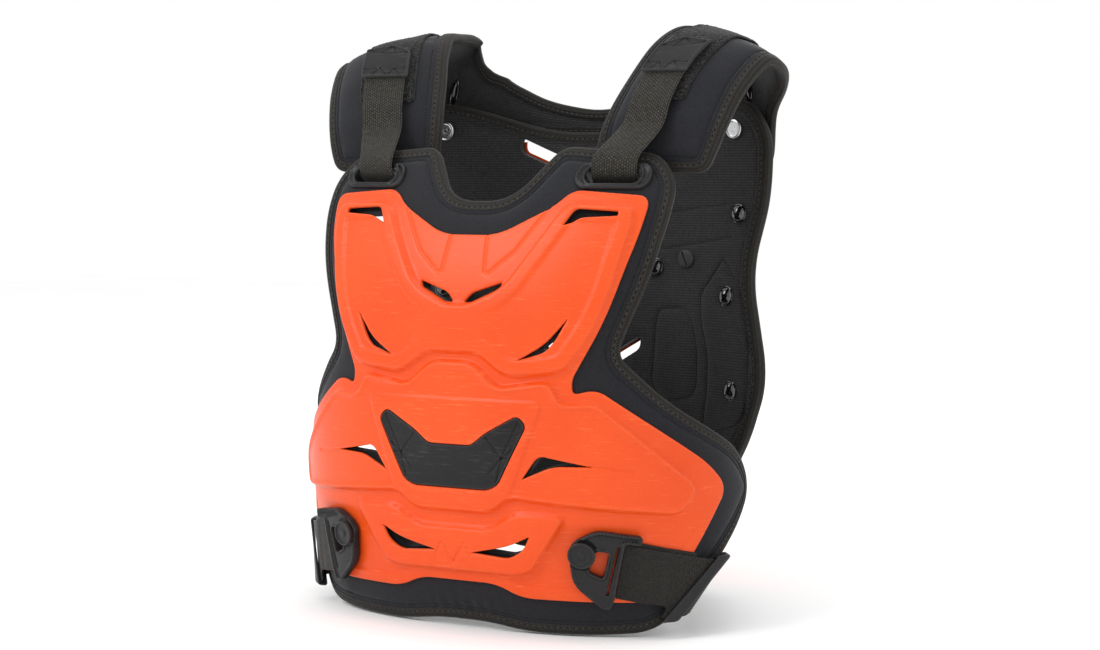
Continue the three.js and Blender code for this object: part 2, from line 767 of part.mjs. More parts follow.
// Shoulder webbing: out of the grommet's slot, over the patch, up to the rubber tab
const strapOut = patchLift + seatGap + patchThickness + strapThickness / 2;
const tail = -padThickness - seatGap - strapThickness;
const flangeFace = grommetFlange + seatGap;
const slotRun = [
  { up: -0.526, from: tail, lift: 0 },
  { up: -0.21, from: tail, lift: 0 },
  { up: -0.04, from: tail, lift: 0.08 },
  { up: 0, from: -padThickness / 2, lift: 0 },
  { up: 0.04, from: 0, lift: 0.026 },
  { up: 0.132, from: flangeFace, lift: 0.066 },
  { up: 0.289, from: flangeFace, lift: 0.132 },
];
const strapRows = slotRun.map((row) => {
  const up = grommetUp + row.up * strapWidth;
  const out = row.from + row.lift * strapWidth;
  return {
    a: onFront(grommetAcross + strapWidth / 2, up, out),
    b: onFront(grommetAcross - strapWidth / 2, up, out),
  };
});
const strapEnd = leftShoulder(2) + 0.21 * strapWidth;
const strapEase = 0.6;
const strapRise = 5;
for (const share of [0.3, 0.45, 0.6, 0.75, 0.88, 1]) {
  const along = THREE.MathUtils.lerp(yoke.length, strapEnd, share);
  const lift = strapOut + strapEase + (1 - share) * strapRise;
  strapRows.push({
    a: onYoke(along, patchMiddle + strapWidth / 2, lift),
    b: onYoke(along, patchMiddle - strapWidth / 2, lift),
  });
}
const strap = makeStrip(strapRows);
const onStrap = (along, across, out) => strap.point(along, across, out);
function ribbon(length, width, thickness) {
  const corners = oval(length, width, length / 2, 0).map((c) => ({ ...c, round: 0.75 * thickness }));
  return plate(outlineOf(corners), -thickness / 2, thickness / 2);
}
addPair(
  "shoulder_strap",
  bend(ribbon(strap.length, strapWidth, strapThickness), onStrap),
  blackWebbing(),
);

// Rubber tab: a flat plate with a peaked top, sewn over the webbing's end
const tabFace = strapThickness / 2 + 0.5 * seatGap;
const tabEnd = strap.length - 0.3 * tabThickness;
const tabPeak = 0.25 * tabLength;
const tabCorners = [
  { x: tabEnd - tabLength, y: tabWidth / 2, round: tabThickness },
  { x: tabEnd - tabPeak, y: tabWidth / 2, round: 0.7 * tabThickness },
  { x: tabEnd, y: 0.1 * tabWidth, round: 0.7 * tabThickness },
  { x: tabEnd - 0.6 * tabPeak, y: -tabWidth / 2, round: 0.7 * tabThickness },
  { x: tabEnd - tabLength, y: -tabWidth / 2, round: tabThickness },
];
addPair(
  "strap_tab",
  bend(plate(outlineOf(tabCorners), tabFace, tabFace + tabThickness), onStrap),
  blackRubber(),
);

// Waist fastening: stud and hook buckle on the shell, tilted with the pull of the elastic
const studShare = { across: 0.464, up: 0.127 };
const studAcross = studShare.across * shellGirth;
const studUp = shellHemLift + studShare.up * shellHeight;
const tilt = THREE.MathUtils.degToRad(buckleTilt);
function tilted(along, across) {
  return {
    x: studAcross + along * Math.cos(tilt) - across * Math.sin(tilt),
    y: studUp + along * Math.sin(tilt) + across * Math.cos(tilt),
  };
}
const buckleRows = [
  { along: -0.24, across: 0.04, round: 0.25 },
  { along: -0.16, across: 0.2, round: 0.25 },
  { along: 0.15, across: 0.46, round: 0.25 },
  { along: 0.93, across: 0.52, round: 0.15 },
  { along: 0.93, across: 0.36, round: 0.1 },
  { along: 0.66, across: 0.34, round: 0.1 },
  { along: 0.66, across: -0.68, round: 0.1 },
  { along: 0.62, across: -0.86, round: 0.15 },
  { along: 0.48, across: -0.86, round: 0.15 },
  { along: -0.05, across: -0.56, round: 0.3 },
];
const windowRows = [
  { along: 0.22, across: 0.12, round: 0.15 },
  { along: 0.46, across: 0.14, round: 0.15 },
  { along: 0.46, across: -0.38, round: 0.15 },
  { along: 0.16, across: -0.28, round: 0.15 },
];
const buckleCorners = (rows) =>
  rows.map((row) => ({
    ...tilted(row.along * buckleLength, row.across * buckleLength),
    round: row.round * softCorner,
  }));
const buckleLow = shellFace + seatGap;
let buckle = plate(outlineOf(buckleCorners(buckleRows)), buckleLow, buckleLow + buckleThickness);
buckle = buckle.subtract(plate(outlineOf(buckleCorners(windowRows)), 0, through));
addPair("buckle", bend(buckle, onFront), blackPlastic());

function roundCap(radius, height, sides = 10) {
  const profile = [
    new THREE.Vector2(0, 0),
    new THREE.Vector2(radius, 0),
    new THREE.Vector2(0.95 * radius, 0.45 * height),
    new THREE.Vector2(0.62 * radius, 0.88 * height),
    new THREE.Vector2(0, height),
  ];
  return new THREE.LatheGeometry(profile, sides).rotateX(Math.PI / 2);
}
const flatCap = (radius, height, sides = 12) =>
  new THREE.CylinderGeometry(0.94 * radius, radius, height, sides)
    .rotateX(Math.PI / 2)
    .translate(0, 0, height / 2);
// A cap in the flat pattern, set on its surface at a place and facing outwards or inwards
function seated(cap, surface, across, up, out, sense = 1) {
  return bend(
    toSolid(sense > 0 ? cap : cap.rotateY(Math.PI)),
    (x, y, z) => surface(across + x, up + y, out + z),
  );
}
const studLow = buckleLow + buckleThickness + 0.5 * seatGap;
addPair(
  "buckle_stud",
  seated(flatCap(studRadius, studHeight), onFront, studAcross, studUp, studLow),
  blackPlastic(),
);

// Elastic: from the buckle's bar over the wing's edge and round to the side of the back
const elasticOut = buckleLow + 0.5 * elasticThickness;
const barShare = { along: 0.66, middle: -0.17 };
const barAlong = barShare.along * buckleLength + sideGap;
const elasticMiddle = barShare.middle * buckleLength;
function frontElastic(along, out) {
  const high = tilted(along, elasticMiddle + elasticWidth / 2);
  const low = tilted(along, elasticMiddle - elasticWidth / 2);
  return { a: onFront(low.x, low.y, out), b: onFront(high.x, high.y, out) };
}
// Where a pad's side edge runs, between two of its outline rows
const sideOf = (rows, girth, height, base) => (up) => {
  const share = (up - base) / height;
  const low = rows.findIndex((row, i) => i > 0 && row.up <= share && rows[i - 1].up > share);
  const part = (share - rows[low - 1].up) / (rows[low].up - rows[low - 1].up);
  return girth * THREE.MathUtils.lerp(rows[low - 1].across, rows[low].across, part);
};
const frontSide = sideOf(frontPadRows.slice(frontPadRows.length - 6), frontPadGirth, frontPadHeight, 0);
const backSide = sideOf(backPadRows.slice(2), backPadGirth, backPadHeight, backHemLift);
const foldUp = studUp - 0.689 * elasticWidth;
const foldSwell = 0.133 * elasticWidth;
// Each fold stands past the pad's side by a share of the band's width, and out by one of its own
const frontFolds = [
  { past: -0.422, from: elasticOut, out: 0.033 },
  { past: -0.089, from: elasticOut, out: 0.027 },
  { past: 0.133, from: 0, out: -0.044 },
  { past: 0.156, from: -padThickness, out: 0 },
];
const backFolds = [
  { past: 0.111, from: -padThickness, out: 0.067 },
  { past: 0.067, from: 0, out: 0.067 },
  { past: -0.311, from: shellFace, out: 0.067 },
  { past: -0.756, from: shellFace, out: 0.056 },
];
function frontFold(row) {
  const low = foldUp - elasticWidth / 2;
  const high = foldUp + elasticWidth / 2;
  const past = row.past * elasticWidth;
  const out = row.from + row.out * elasticWidth;
  return {
    a: onFront(frontSide(low) + past + foldSwell, low, out),
    b: onFront(frontSide(high) + past, high, out),
  };
}
const backEndUp = foldUp + 0.356 * elasticWidth;
function backFold(row) {
  const low = backEndUp - elasticWidth / 2;
  const high = backEndUp + elasticWidth / 2;
  const past = row.past * elasticWidth;
  const out = row.from + row.out * elasticWidth;
  return {
    a: onBack(-backSide(low) - past, low, out),
    b: onBack(-backSide(high) - past, high, out),
  };
}
const elasticRows = [
  frontElastic(barAlong, elasticOut),
  frontElastic(barAlong + 0.444 * elasticWidth, elasticOut),
  frontElastic(barAlong + 0.889 * elasticWidth, elasticOut),
  ...frontFolds.map(frontFold),
  ...backFolds.map(backFold),
];
const elastic = makeStrip(elasticRows);
// The rows lean along the pads' slanting edges, so the band is stretched to fill them.
const onElastic = (along, across, out) =>
  elastic.point(along, (across * elastic.widthAt(along)) / elasticWidth, out);
addPair(
  "waist_strap",
  bend(ribbon(elastic.length, elasticWidth, elasticThickness), onElastic, looseSag),
  blackWebbing(),
);

// Slider: a flat sleeve that the elastic runs through near the wing's edge
const sliderAt = (elastic.stations[3] + elastic.stations[4]) / 2 - 0.5 * sliderWall;
const sliderInner = elasticThickness / 2 + 1.3 * sideGap;
const sliderBody = plate(
  outlineOf(oval(sliderLength, elasticWidth + 2 * (sideGap + sliderWall), sliderAt, 0).map((c) => ({
    ...c,
    round: sliderWall,
  }))),
  -sliderInner - sliderWall,
  sliderInner + sliderWall,
);
const sliderRoom = plate(
  outlineOf(oval(2 * sliderLength, elasticWidth + 2 * sideGap, sliderAt, 0).map((c) => ({
    ...c,
    round: 0,
  }))),
  -sliderInner,
  sliderInner,
);
addPair("slider", bend(sliderBody.subtract(sliderRoom), onElastic), blackPlastic());

// Fasteners on the inner face of the back pad and of the yoke
const innerFace = -padThickness - 1.2 * seatGap;
const domeRows = [
  { name: "high", across: 0.775, up: 0.755 },
  { name: "middle", across: 0.74, up: 0.579 },
  { name: "low", across: 0.8, up: 0.387 },
  { name: "spine", across: 0.335, up: 0.637 },
];
const clearRivetShare = { across: 0.745, up: 0.934 };
const screwShare = { across: 0.5, up: 0.656 };
for (const row of domeRows) {
  addPair(
    "dome_rivet_" + row.name,
    seated(
      roundCap(domeRadius, domeHeight),
      onBack,
      -row.across * backPadGirth,
      backHemLift + row.up * backPadHeight,
      innerFace,
      -1,
    ),
    blackPlastic(),
  );
}
const yokeRivetShare = { along: -0.585, across: -0.025 };
addPair(
  "dome_rivet_yoke",
  seated(
    roundCap(domeRadius, domeHeight),
    onYoke,
    leftShoulder(0) + yokeRivetShare.along * yokeReach,
    yokeRivetShare.across * yokeReach,
    yokePadFloor - 0.6 * seatGap,
    -1,
  ),
  blackPlastic(),
);
addPair(
  "clear_rivet",
  seated(
    flatCap(clearRivetRadius, 2),
    onBack,
    -clearRivetShare.across * backPadGirth,
    backHemLift + clearRivetShare.up * backPadHeight,
    innerFace,
    -1,
  ),
  clearPlastic(),
);
addPair(
  "slotted_screw",
  seated(
    flatCap(screwRadius, 3),
    onBack,
    -screwShare.across * backPadGirth,
    backHemLift + screwShare.up * backPadHeight,
    innerFace,
    -1,
  ),
  blackPlastic(),
);

export default group;
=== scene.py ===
# Roost deflector for motocross: moulded shells on foam pads, hung from a padded shoulder yoke.
# Flat patterns are in millimetres: across the girth, up from the hem, and out from the pad's face.
import math

import bpy
import numpy as np
from mathutils import Matrix, Vector
from mathutils.geometry import delaunay_2d_cdt


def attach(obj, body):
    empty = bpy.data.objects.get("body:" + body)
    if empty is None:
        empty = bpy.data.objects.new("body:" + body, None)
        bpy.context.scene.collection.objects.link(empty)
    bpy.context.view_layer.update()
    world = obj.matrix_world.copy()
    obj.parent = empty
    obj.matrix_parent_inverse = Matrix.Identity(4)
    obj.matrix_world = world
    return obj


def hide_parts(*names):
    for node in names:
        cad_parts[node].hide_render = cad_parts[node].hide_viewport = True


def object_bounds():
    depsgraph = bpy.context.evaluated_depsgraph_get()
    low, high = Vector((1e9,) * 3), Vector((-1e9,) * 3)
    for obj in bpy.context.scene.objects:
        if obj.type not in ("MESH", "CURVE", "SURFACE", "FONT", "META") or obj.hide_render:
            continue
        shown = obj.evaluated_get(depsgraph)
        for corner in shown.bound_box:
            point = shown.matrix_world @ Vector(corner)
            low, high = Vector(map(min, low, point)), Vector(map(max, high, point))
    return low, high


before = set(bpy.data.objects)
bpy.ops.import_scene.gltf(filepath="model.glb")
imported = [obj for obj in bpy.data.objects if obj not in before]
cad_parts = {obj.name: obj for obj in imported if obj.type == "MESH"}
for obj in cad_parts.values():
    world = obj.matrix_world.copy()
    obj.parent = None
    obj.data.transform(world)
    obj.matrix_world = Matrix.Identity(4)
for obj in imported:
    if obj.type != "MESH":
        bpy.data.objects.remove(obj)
cad_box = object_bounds()

# Front pad
# A 12 mm foam pad in a dark neoprene cover, lined with ribbed knit and lightly crowned, with a
# welt line pressed in just inside the taped edge. It is cut flat and bent round the body: the
# chest leans back above the belly, the hem tucks in and the sides wrap towards the ribs.
HEM_DROP = 467.0
BELLY_UP = 153.0
BELLY_DEPTH = 185.5
CHEST_LEAN = 75.5
HEM_TUCK = 15.0
PAD_HIGH = 396.0
PAD_GIRTH = 290.0
PAD_THICK = 12.0
WRAP_GIRTH = 200.0
WAIST_FROM, WAIST_OVER = 354, 155
TURN_STEPS = 16


def smooth(part):
    part = np.clip(part, 0, 1)
    return part * part * (3 - 2 * part)


def alike(*values):
    return np.broadcast_arrays(*(np.asarray(value, float) for value in values))


def unit(runs):
    return runs / np.linalg.norm(runs, axis=-1, keepdims=True)


def front_depth(up):
    lean = CHEST_LEAN * (np.maximum(up - BELLY_UP, 0) / (PAD_HIGH - BELLY_UP)) ** 2.65
    tuck = HEM_TUCK * (np.maximum(BELLY_UP - up, 0) / BELLY_UP) ** 1.8
    return lean + tuck - BELLY_DEPTH


def bent_panel(across, up, out, depth, wrap_top, wrap_waist, facing):
    """Bends flat places round the body; the sides wrap by one angle at the top, another at the waist."""
    across, up, out = alike(across, up, out)

    def skin(a, z):
        wrap = np.radians(wrap_top + (wrap_waist - wrap_top) * smooth((WAIST_FROM - z) / WAIST_OVER))
        reach = np.abs(a)
        x = np.zeros_like(reach)
        turn = np.zeros_like(reach)
        for i in range(TURN_STEPS):
            angle = wrap * (reach * (i + 0.5) / TURN_STEPS / WRAP_GIRTH) ** 1.7
            x += np.cos(angle) * reach / TURN_STEPS
            turn += np.sin(angle) * reach / TURN_STEPS
        return np.stack([np.sign(a) * x, depth(z) - facing * turn, z - HEM_DROP], -1)

    sideways = skin(across + 0.5, up) - skin(across - 0.5, up)
    upward = skin(across, up + 0.5) - skin(across, up - 0.5)
    return skin(across, up) + unit(np.cross(upward, sideways) * facing) * out[..., None]


def on_front(across, up, out):
    return bent_panel(across, up, out, front_depth, 29, 56, -1)


class Outline:
    """Closed outline of a flat pattern, with rounded corners; rings at any inset match point for point."""

    def __init__(self, rows, step=3.0):
        self.rows = np.array(rows, float)
        start, corner, end = self.bends(0)
        arcs = np.linalg.norm(corner - start, axis=1) + np.linalg.norm(end - corner, axis=1)
        lines = np.linalg.norm(np.roll(start, -1, 0) - end, axis=1)
        self.arc_counts = np.maximum(3, np.ceil(arcs / min(step, 1.5))).astype(int)
        self.line_counts = np.maximum(1, np.ceil(lines / step)).astype(int)

    def bends(self, inset):
        corner = self.rows[:, :2]
        following = np.roll(corner, -1, 0)
        before, after = unit(corner - np.roll(corner, 1, 0)), unit(following - corner)
        area = np.sum(corner[:, 0] * following[:, 1] - following[:, 0] * corner[:, 1])
        way = math.copysign(1, area)
        turn = (before[:, 0] * after[:, 1] - before[:, 1] * after[:, 0]) * way
        inward = way * np.stack([-before[:, 1], before[:, 0]], 1)
        inward_next = way * np.stack([-after[:, 1], after[:, 0]], 1)
        share = inset / (1 + np.sum(inward * inward_next, axis=1))
        moved = corner + (inward + inward_next) * share[:, None]
        rounding = np.maximum(0.8, self.rows[:, 2] - inset * np.sign(turn))
        to_last = np.roll(moved, 1, 0) - moved
        to_next = np.roll(moved, -1, 0) - moved
        last = np.linalg.norm(to_last, axis=1)
        coming = np.linalg.norm(to_next, axis=1)
        cut = np.minimum(rounding, 0.45 * np.minimum(last, coming))[:, None]
        return moved + to_last / last[:, None] * cut, moved, moved + to_next / coming[:, None] * cut

    def ring(self, inset=0.0):
        start, corner, end = self.bends(inset)
        points = []
        for i in range(len(corner)):
            t = (np.arange(self.arc_counts[i]) / self.arc_counts[i])[:, None]
            points.append((1 - t) ** 2 * start[i] + 2 * t * (1 - t) * corner[i] + t * t * end[i])
            t = (np.arange(self.line_counts[i]) / self.line_counts[i])[:, None]
            points.append((1 - t) * end[i] + t * start[(i + 1) % len(corner)])
        return np.concatenate(points)

    def rings(self, *insets):
        return [self.ring(inset) for inset in insets]


def table(rows, girth, height, base=0.0, side=1):
    """Shares of a girth and a height become places on the flat pattern."""
    return [(side * across * girth, base + up * height, rounding) for across, up, rounding in rows]


def both_halves(rows, girth, height, base=0.0):
    half = table(rows, girth, height, base)
    return half + [(-across, up, rounding) for across, up, rounding in half[::-1]]


def inside(points, loop):
    ends = np.roll(loop, -1, 0)
    found = np.zeros(len(points), bool)
    for first in range(0, len(points), 4000):
        px, py = points[first:first + 4000, :1], points[first:first + 4000, 1:]
        crosses = (loop[:, 1] > py) != (ends[:, 1] > py)
        rise = np.where(ends[:, 1] == loop[:, 1], 1, ends[:, 1] - loop[:, 1])
        at = loop[:, 0] + (py - loop[:, 1]) * (ends[:, 0] - loop[:, 0]) / rise
        found[first:first + 4000] = np.sum(crosses & (px < at), axis=1) % 2 == 1
    return found


def distance(points, line, closed=True):
    ends = np.roll(line, -1, 0) if closed else line[1:]
    x, y = (line if closed else line[:-1]).T.astype(np.float32)
    far_x, far_y = ends.T.astype(np.float32)
    run, rise = far_x - x, far_y - y
    per_length = 1 / np.maximum(run**2 + rise**2, 1e-9)
    px, py = points.T.astype(np.float32)
    found = np.empty(len(points))
    for first in range(0, len(points), 1500):
        across = px[first:first + 1500, None] - x
        up = py[first:first + 1500, None] - y
        share = np.clip((across * run + up * rise) * per_length, 0, 1)
        across -= share * run
        up -= share * rise
        found[first:first + 1500] = np.min(across * across + up * up, axis=1)
    return np.sqrt(found)


def depth_in(points, loop):
    """Distance from a closed line, positive inside it and negative outside."""
    away = distance(points, loop)
    return np.where(inside(points, loop), away, -away)


def hex_grid(low, high, pitch):
    across = np.arange(low[0], high[0] + pitch, pitch)
    up = np.arange(low[1], high[1] + pitch, 0.866 * pitch)
    x, y = np.meshgrid(across, up)
    x = x + 0.5 * pitch * (np.arange(len(up)) % 2)[:, None]
    return np.stack([x.ravel(), y.ravel()], 1)


def thinned(points, kept, gap):
    """Points that leave at least about one gap to the kept ones."""
    taken = {(int(x), int(y)) for x, y in np.floor(kept / gap)}
    cells = np.floor(points / gap).astype(int)
    return points[[(x, y) not in taken for x, y in cells.tolist()]]


def on_levels(field, line, levels, margin, pitch, high=None):
    """Points strung along the lines where a distance from a line has the given levels."""
    grid = hex_grid(line.min(0) - margin, line.max(0) + margin if high is None else high, pitch)
    values = field(grid, line)
    step = 0.05
    found = []
    for level in levels:
        near = np.abs(values - level) < 0.55 * pitch
        points = grid[near]
        slope = np.stack(
            [field(points + shift, line) - field(points - shift, line)
             for shift in (np.array([step, 0]), np.array([0, step]))], 1
        ) / (2 * step)
        steep = np.linalg.norm(slope, axis=1) > 0.7
        found.append((points - (values[near] - level)[:, None] * slope)[steep])
    return found


def new_piece(name, points, faces, pattern=None, finishes=(), marks=None, sharp=38):
    """A mesh in metres, with its flat pattern as its UV map and one finish for each mark."""
    mesh = bpy.data.meshes.new(name)
    mesh.from_pydata((np.asarray(points) * 0.001).tolist(), [], faces)
    if pattern is not None:
        corners = np.empty(len(mesh.loops), np.int32)
        mesh.loops.foreach_get("vertex_index", corners)
        layer = mesh.uv_layers.new(name="pattern")
        layer.data.foreach_set("uv", (np.asarray(pattern)[corners] * 0.001).ravel())
    for finish in finishes:
        mesh.materials.append(finish)
    if marks is not None:
        mesh.polygons.foreach_set("material_index", np.asarray(marks, np.int32))
    mesh.validate()
    mesh.calc_loop_triangles()
    places = np.empty(len(mesh.vertices) * 3, np.float32)
    mesh.vertices.foreach_get("co", places)
    corners = np.empty(len(mesh.loop_triangles) * 3, np.int32)
    mesh.loop_triangles.foreach_get("vertices", corners)
    a, b, c = places.reshape(-1, 3)[corners].reshape(-1, 3, 3).transpose(1, 0, 2)
    if np.sum(a * np.cross(b, c)) < 0:
        mesh.flip_normals()
    mesh.shade_smooth()
    mesh.set_sharp_from_angle(angle=math.radians(sharp))
    piece = bpy.data.objects.new(name, mesh)
    bpy.context.scene.collection.objects.link(piece)
    return piece


def fitted(piece, slot, *nodes):
    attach(piece, "root")
    if nodes:
        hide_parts(*nodes)
    return piece


POINT_GAP, EDGE_GAP = 0.45, 0.15


def formed(name, loops, heights, surface, pitch, extra, creases=(), finishes=(), sharp=38):
    """Cuts a flat pattern with holes, raises its two faces and bends it onto its surface."""
    edges_of = []
    outline = np.concatenate([*loops, *creases])
    start = 0
    for loop in [*loops, *creases]:
        count = len(loop)
        edges_of += [(start + i, start + (i + 1) % count) for i in range(count)]
        start += count
    rest = thinned(np.concatenate(extra), outline, POINT_GAP)
    grid = hex_grid(loops[0].min(0), loops[0].max(0), pitch)
    grid = thinned(grid, np.concatenate([outline, rest]), 0.55 * pitch)
    points = np.concatenate([rest, grid])
    points = points[depth_in(points, loops[0]) > EDGE_GAP]
    for hole in loops[1:]:
        points = points[depth_in(points, hole) < -EDGE_GAP]
    cloud = [Vector(p) for p in np.concatenate([outline, points]).tolist()]
    flat, _, triangles, *_ = delaunay_2d_cdt(cloud, edges_of, [], 0, 1e-5, False)
    flat = np.array([tuple(p) for p in flat])
    triangles = np.array(triangles)
    centres = flat[triangles].mean(axis=1)
    keep = inside(centres, loops[0])
    for hole in loops[1:]:
        keep &= ~inside(centres, hole)
    triangles = triangles[keep]
    used, triangles = np.unique(triangles, return_inverse=True)
    flat = flat[used]
    triangles = triangles.reshape(-1, 3)
    a, b, c = (flat[triangles[:, i]] for i in range(3))
    turned = (b[:, 0] - a[:, 0]) * (c[:, 1] - a[:, 1]) < (b[:, 1] - a[:, 1]) * (c[:, 0] - a[:, 0])
    triangles[turned] = triangles[turned][:, ::-1]
    sides = np.concatenate([triangles[:, [0, 1]], triangles[:, [1, 2]], triangles[:, [2, 0]]])
    count = len(flat)
    codes = sides[:, 0] * count + sides[:, 1]
    backwards = sides[:, 1] * count + sides[:, 0]
    rim = sides[~np.isin(codes, backwards)]
    high, low = heights(flat)
    points = np.concatenate(
        [surface(flat[:, 0], flat[:, 1], high), surface(flat[:, 0], flat[:, 1], low)]
    )
    faces = triangles.tolist() + (triangles[:, ::-1] + count).tolist()
    walls = np.stack([rim[:, 1], rim[:, 0], rim[:, 0] + count, rim[:, 1] + count], 1)
    faces += walls.tolist()
    marks = None
    if len(finishes) > 1:
        half = len(triangles)
        marks = [0] * half + [1] * half + [len(finishes) - 1] * len(walls)
    return new_piece(name, points, faces, np.concatenate([flat, flat]), finishes, marks, sharp)


def node(tree, kind, inputs=None, **settings):
    made = tree.nodes.new("ShaderNode" + kind)
    for key, value in settings.items():
        setattr(made, key, value)
    for key, value in (inputs or {}).items():
        if isinstance(value, bpy.types.NodeSocket):
            tree.links.new(value, made.inputs[key])
        else:
            made.inputs[key].default_value = value
    return made


def combined(tree, operation, one, two=None, three=None):
    values = {i: v for i, v in enumerate((one, two, three)) if v is not None}
    return node(tree, "Math", values, operation=operation).outputs[0]


def effect(name, inputs, outputs):
    """An empty shared node group with its sockets."""
    group = bpy.data.node_groups.new(name, "ShaderNodeTree")
    for label, kind, default in inputs:
        socket = group.interface.new_socket(name=label, in_out="INPUT", socket_type="NodeSocket" + kind)
        socket.default_value = default
    for label, kind in outputs:
        group.interface.new_socket(name=label, in_out="OUTPUT", socket_type="NodeSocket" + kind)
    return group, group.nodes.new("NodeGroupInput").outputs, group.nodes.new("NodeGroupOutput").inputs


def placed(tree, group, inputs):
    return node(tree, "Group", inputs, node_tree=group).outputs


def noise(tree, scale, detail, roughness=0.5):
    place = node(tree, "TexCoord").outputs["Object"]
    inputs = {"Vector": place, "Scale": scale, "Detail": detail, "Roughness": roughness}
    return node(tree, "TexNoise", inputs).outputs[0]


def stepped(tree, value, low, high):
    """None below the low mark, and all above the high one."""
    return node(tree, "MapRange", {"Value": value, "From Min": low, "From Max": high}).outputs[0]


def blend(tree, share, one, two):
    return node(tree, "Mix", {"Factor": share, 6: one, 7: two}, data_type="RGBA").outputs[2]


def new_finish(name, **sockets):
    """A material with its Principled shader; constant values go straight on the shader's sockets."""
    material = bpy.data.materials.new(name)
    material.use_nodes = True
    tree = material.node_tree
    shader = tree.nodes["Principled BSDF"]
    for key, value in sockets.items():
        shader.inputs[key.replace("_", " ")].default_value = value
    return material, tree, shader


def bumped(tree, shader, height, strength, reach):
    bump = node(tree, "Bump", {"Height": height, "Strength": strength, "Distance": reach})
    tree.links.new(bump.outputs[0], shader.inputs["Normal"])


# Handling: cloth and plastic pick up pale dust in broad patches and get polished where they rub.
worn_patches, given, made = effect(
    "worn patches",
    [("Deep", "Color", (0, 0, 0, 1)), ("Pale", "Color", (1, 1, 1, 1)), ("Size", "Float", 40.0),
     ("Amount", "Float", 0.5), ("Smooth", "Float", 0.5), ("Rough", "Float", 0.8)],
    [("Color", "Color"), ("Roughness", "Float")],
)
broad, fine = noise(worn_patches, given["Size"], 5.0), noise(worn_patches, 900.0, 3.0)
mixed = combined(worn_patches, "MULTIPLY_ADD", fine, 0.45, combined(worn_patches, "MULTIPLY", broad, 0.55))
spread = stepped(worn_patches, mixed, 0.36, 0.64)
share = combined(worn_patches, "MULTIPLY", spread, given["Amount"])
worn_patches.links.new(blend(worn_patches, share, given["Deep"], given["Pale"]), made["Color"])
limits = {"Value": spread, "To Min": given["Smooth"], "To Max": given["Rough"]}
worn_patches.links.new(node(worn_patches, "MapRange", limits).outputs[0], made["Roughness"])

# Knitting and weaving: threads crossing at two pitches on the flat pattern, every other row shifted.
threads, given, made = effect(
    "crossing threads",
    [("Along", "Float", 1.0), ("Across", "Float", 1.0), ("Shift", "Float", 0.5)],
    [("Height", "Float"), ("Gap", "Float")],
)


def crossed(operation, *values):
    return combined(threads, operation, *values)


parts = node(threads, "SeparateXYZ", {0: node(threads, "UVMap", uv_map="pattern").outputs[0]}).outputs
rows = crossed("DIVIDE", crossed("MULTIPLY", parts[1], 1000.0), given["Across"])
odd = crossed("MULTIPLY", crossed("FLOORED_MODULO", crossed("FLOOR", rows), 2.0), given["Shift"])
columns = crossed("ADD", crossed("DIVIDE", crossed("MULTIPLY", parts[0], 1000.0), given["Along"]), odd)
bulges = []
for run in (rows, columns):
    part = crossed("SUBTRACT", crossed("FRACT", run), 0.5)
    bulges.append(crossed("SUBTRACT", 1.0, crossed("MULTIPLY", 4.0, crossed("MULTIPLY", part, part))))
height = crossed("POWER", crossed("MULTIPLY", *bulges), 0.5)
threads.links.new(height, made["Height"])
threads.links.new(crossed("SUBTRACT", 1.0, height), made["Gap"])


def dusted(tree, shader, deep, pale, size, amount, rough):
    """Dusty and rubbed patches: sets the roughness and gives the colour."""
    tint = placed(tree, worn_patches, {"Deep": (*deep, 1), "Pale": (*pale, 1), "Size": size,
                                       "Amount": amount, "Smooth": rough[0], "Rough": rough[1]})
    tree.links.new(tint["Roughness"], shader.inputs["Roughness"])
    return tint["Color"]


def cloth(name, deep, pale, along, across, shift, depth, rough=(0.62, 0.85), sheen=0.12,
          glint_tint=(0.05, 0.05, 0.05), glint_amount=0.5):
    """Woven or knitted stuff: thread relief, painted gap shade, painted glints on thread tops, dusty patches
    and a soft sheen.
    """
    material, tree, shader = new_finish(name, Sheen_Weight=sheen, Sheen_Roughness=0.45,
                                        Specular_IOR_Level=0.16)
    weave = placed(tree, threads, {"Along": along, "Across": across, "Shift": shift})
    tint = dusted(tree, shader, deep, pale, 26.0, 0.5, rough)
    # Painted shade: the gaps between threads are darkened to a fifth of the deep colour.
    gap_shade = combined(tree, "MULTIPLY", weave["Gap"], 0.75)
    paint = blend(tree, gap_shade, tint, (*(part * 0.2 for part in deep), 1))
    # Painted glints: pale specks only on the thread tops, a painted highlight where light catches them.
    painted_glints = stepped(tree, noise(tree, 520.0, 3.0, 0.75), 0.34, 0.72)
    painted_glints = combined(tree, "MULTIPLY", painted_glints, combined(tree, "POWER", weave["Height"], 2.5))
    painted_glints = combined(tree, "MULTIPLY", painted_glints, glint_amount)
    tree.links.new(blend(tree, painted_glints, paint, (*glint_tint, 1)), shader.inputs["Base Color"])
    bumped(tree, shader, weave["Height"], 0.7, depth * 0.001)
    return material


# In every cloth below, the gaps get painted shade, and the pale tint is a painted highlight on the thread
# tops.
neoprene = cloth("neoprene jersey", (0.0085, 0.009, 0.013), (0.023, 0.024, 0.031), 0.7, 0.5, 0.5, 0.10)
knit = cloth("ribbed knit lining", (0.016, 0.0155, 0.016), (0.046, 0.045, 0.046), 1.5, 2.3, 0.0, 0.4,
             sheen=0.15, glint_tint=(0.085, 0.085, 0.088), glint_amount=0.7)
foam = cloth("cut foam", (0.006, 0.006, 0.007), (0.016, 0.016, 0.017), 0.8, 0.8, 0.5, 0.1)

SHELL_GIRTH = 236.0
SHELL_HIGH = 328.0
SHELL_LIFT = 29.5
SHELL = (SHELL_GIRTH, SHELL_HIGH, SHELL_LIFT)
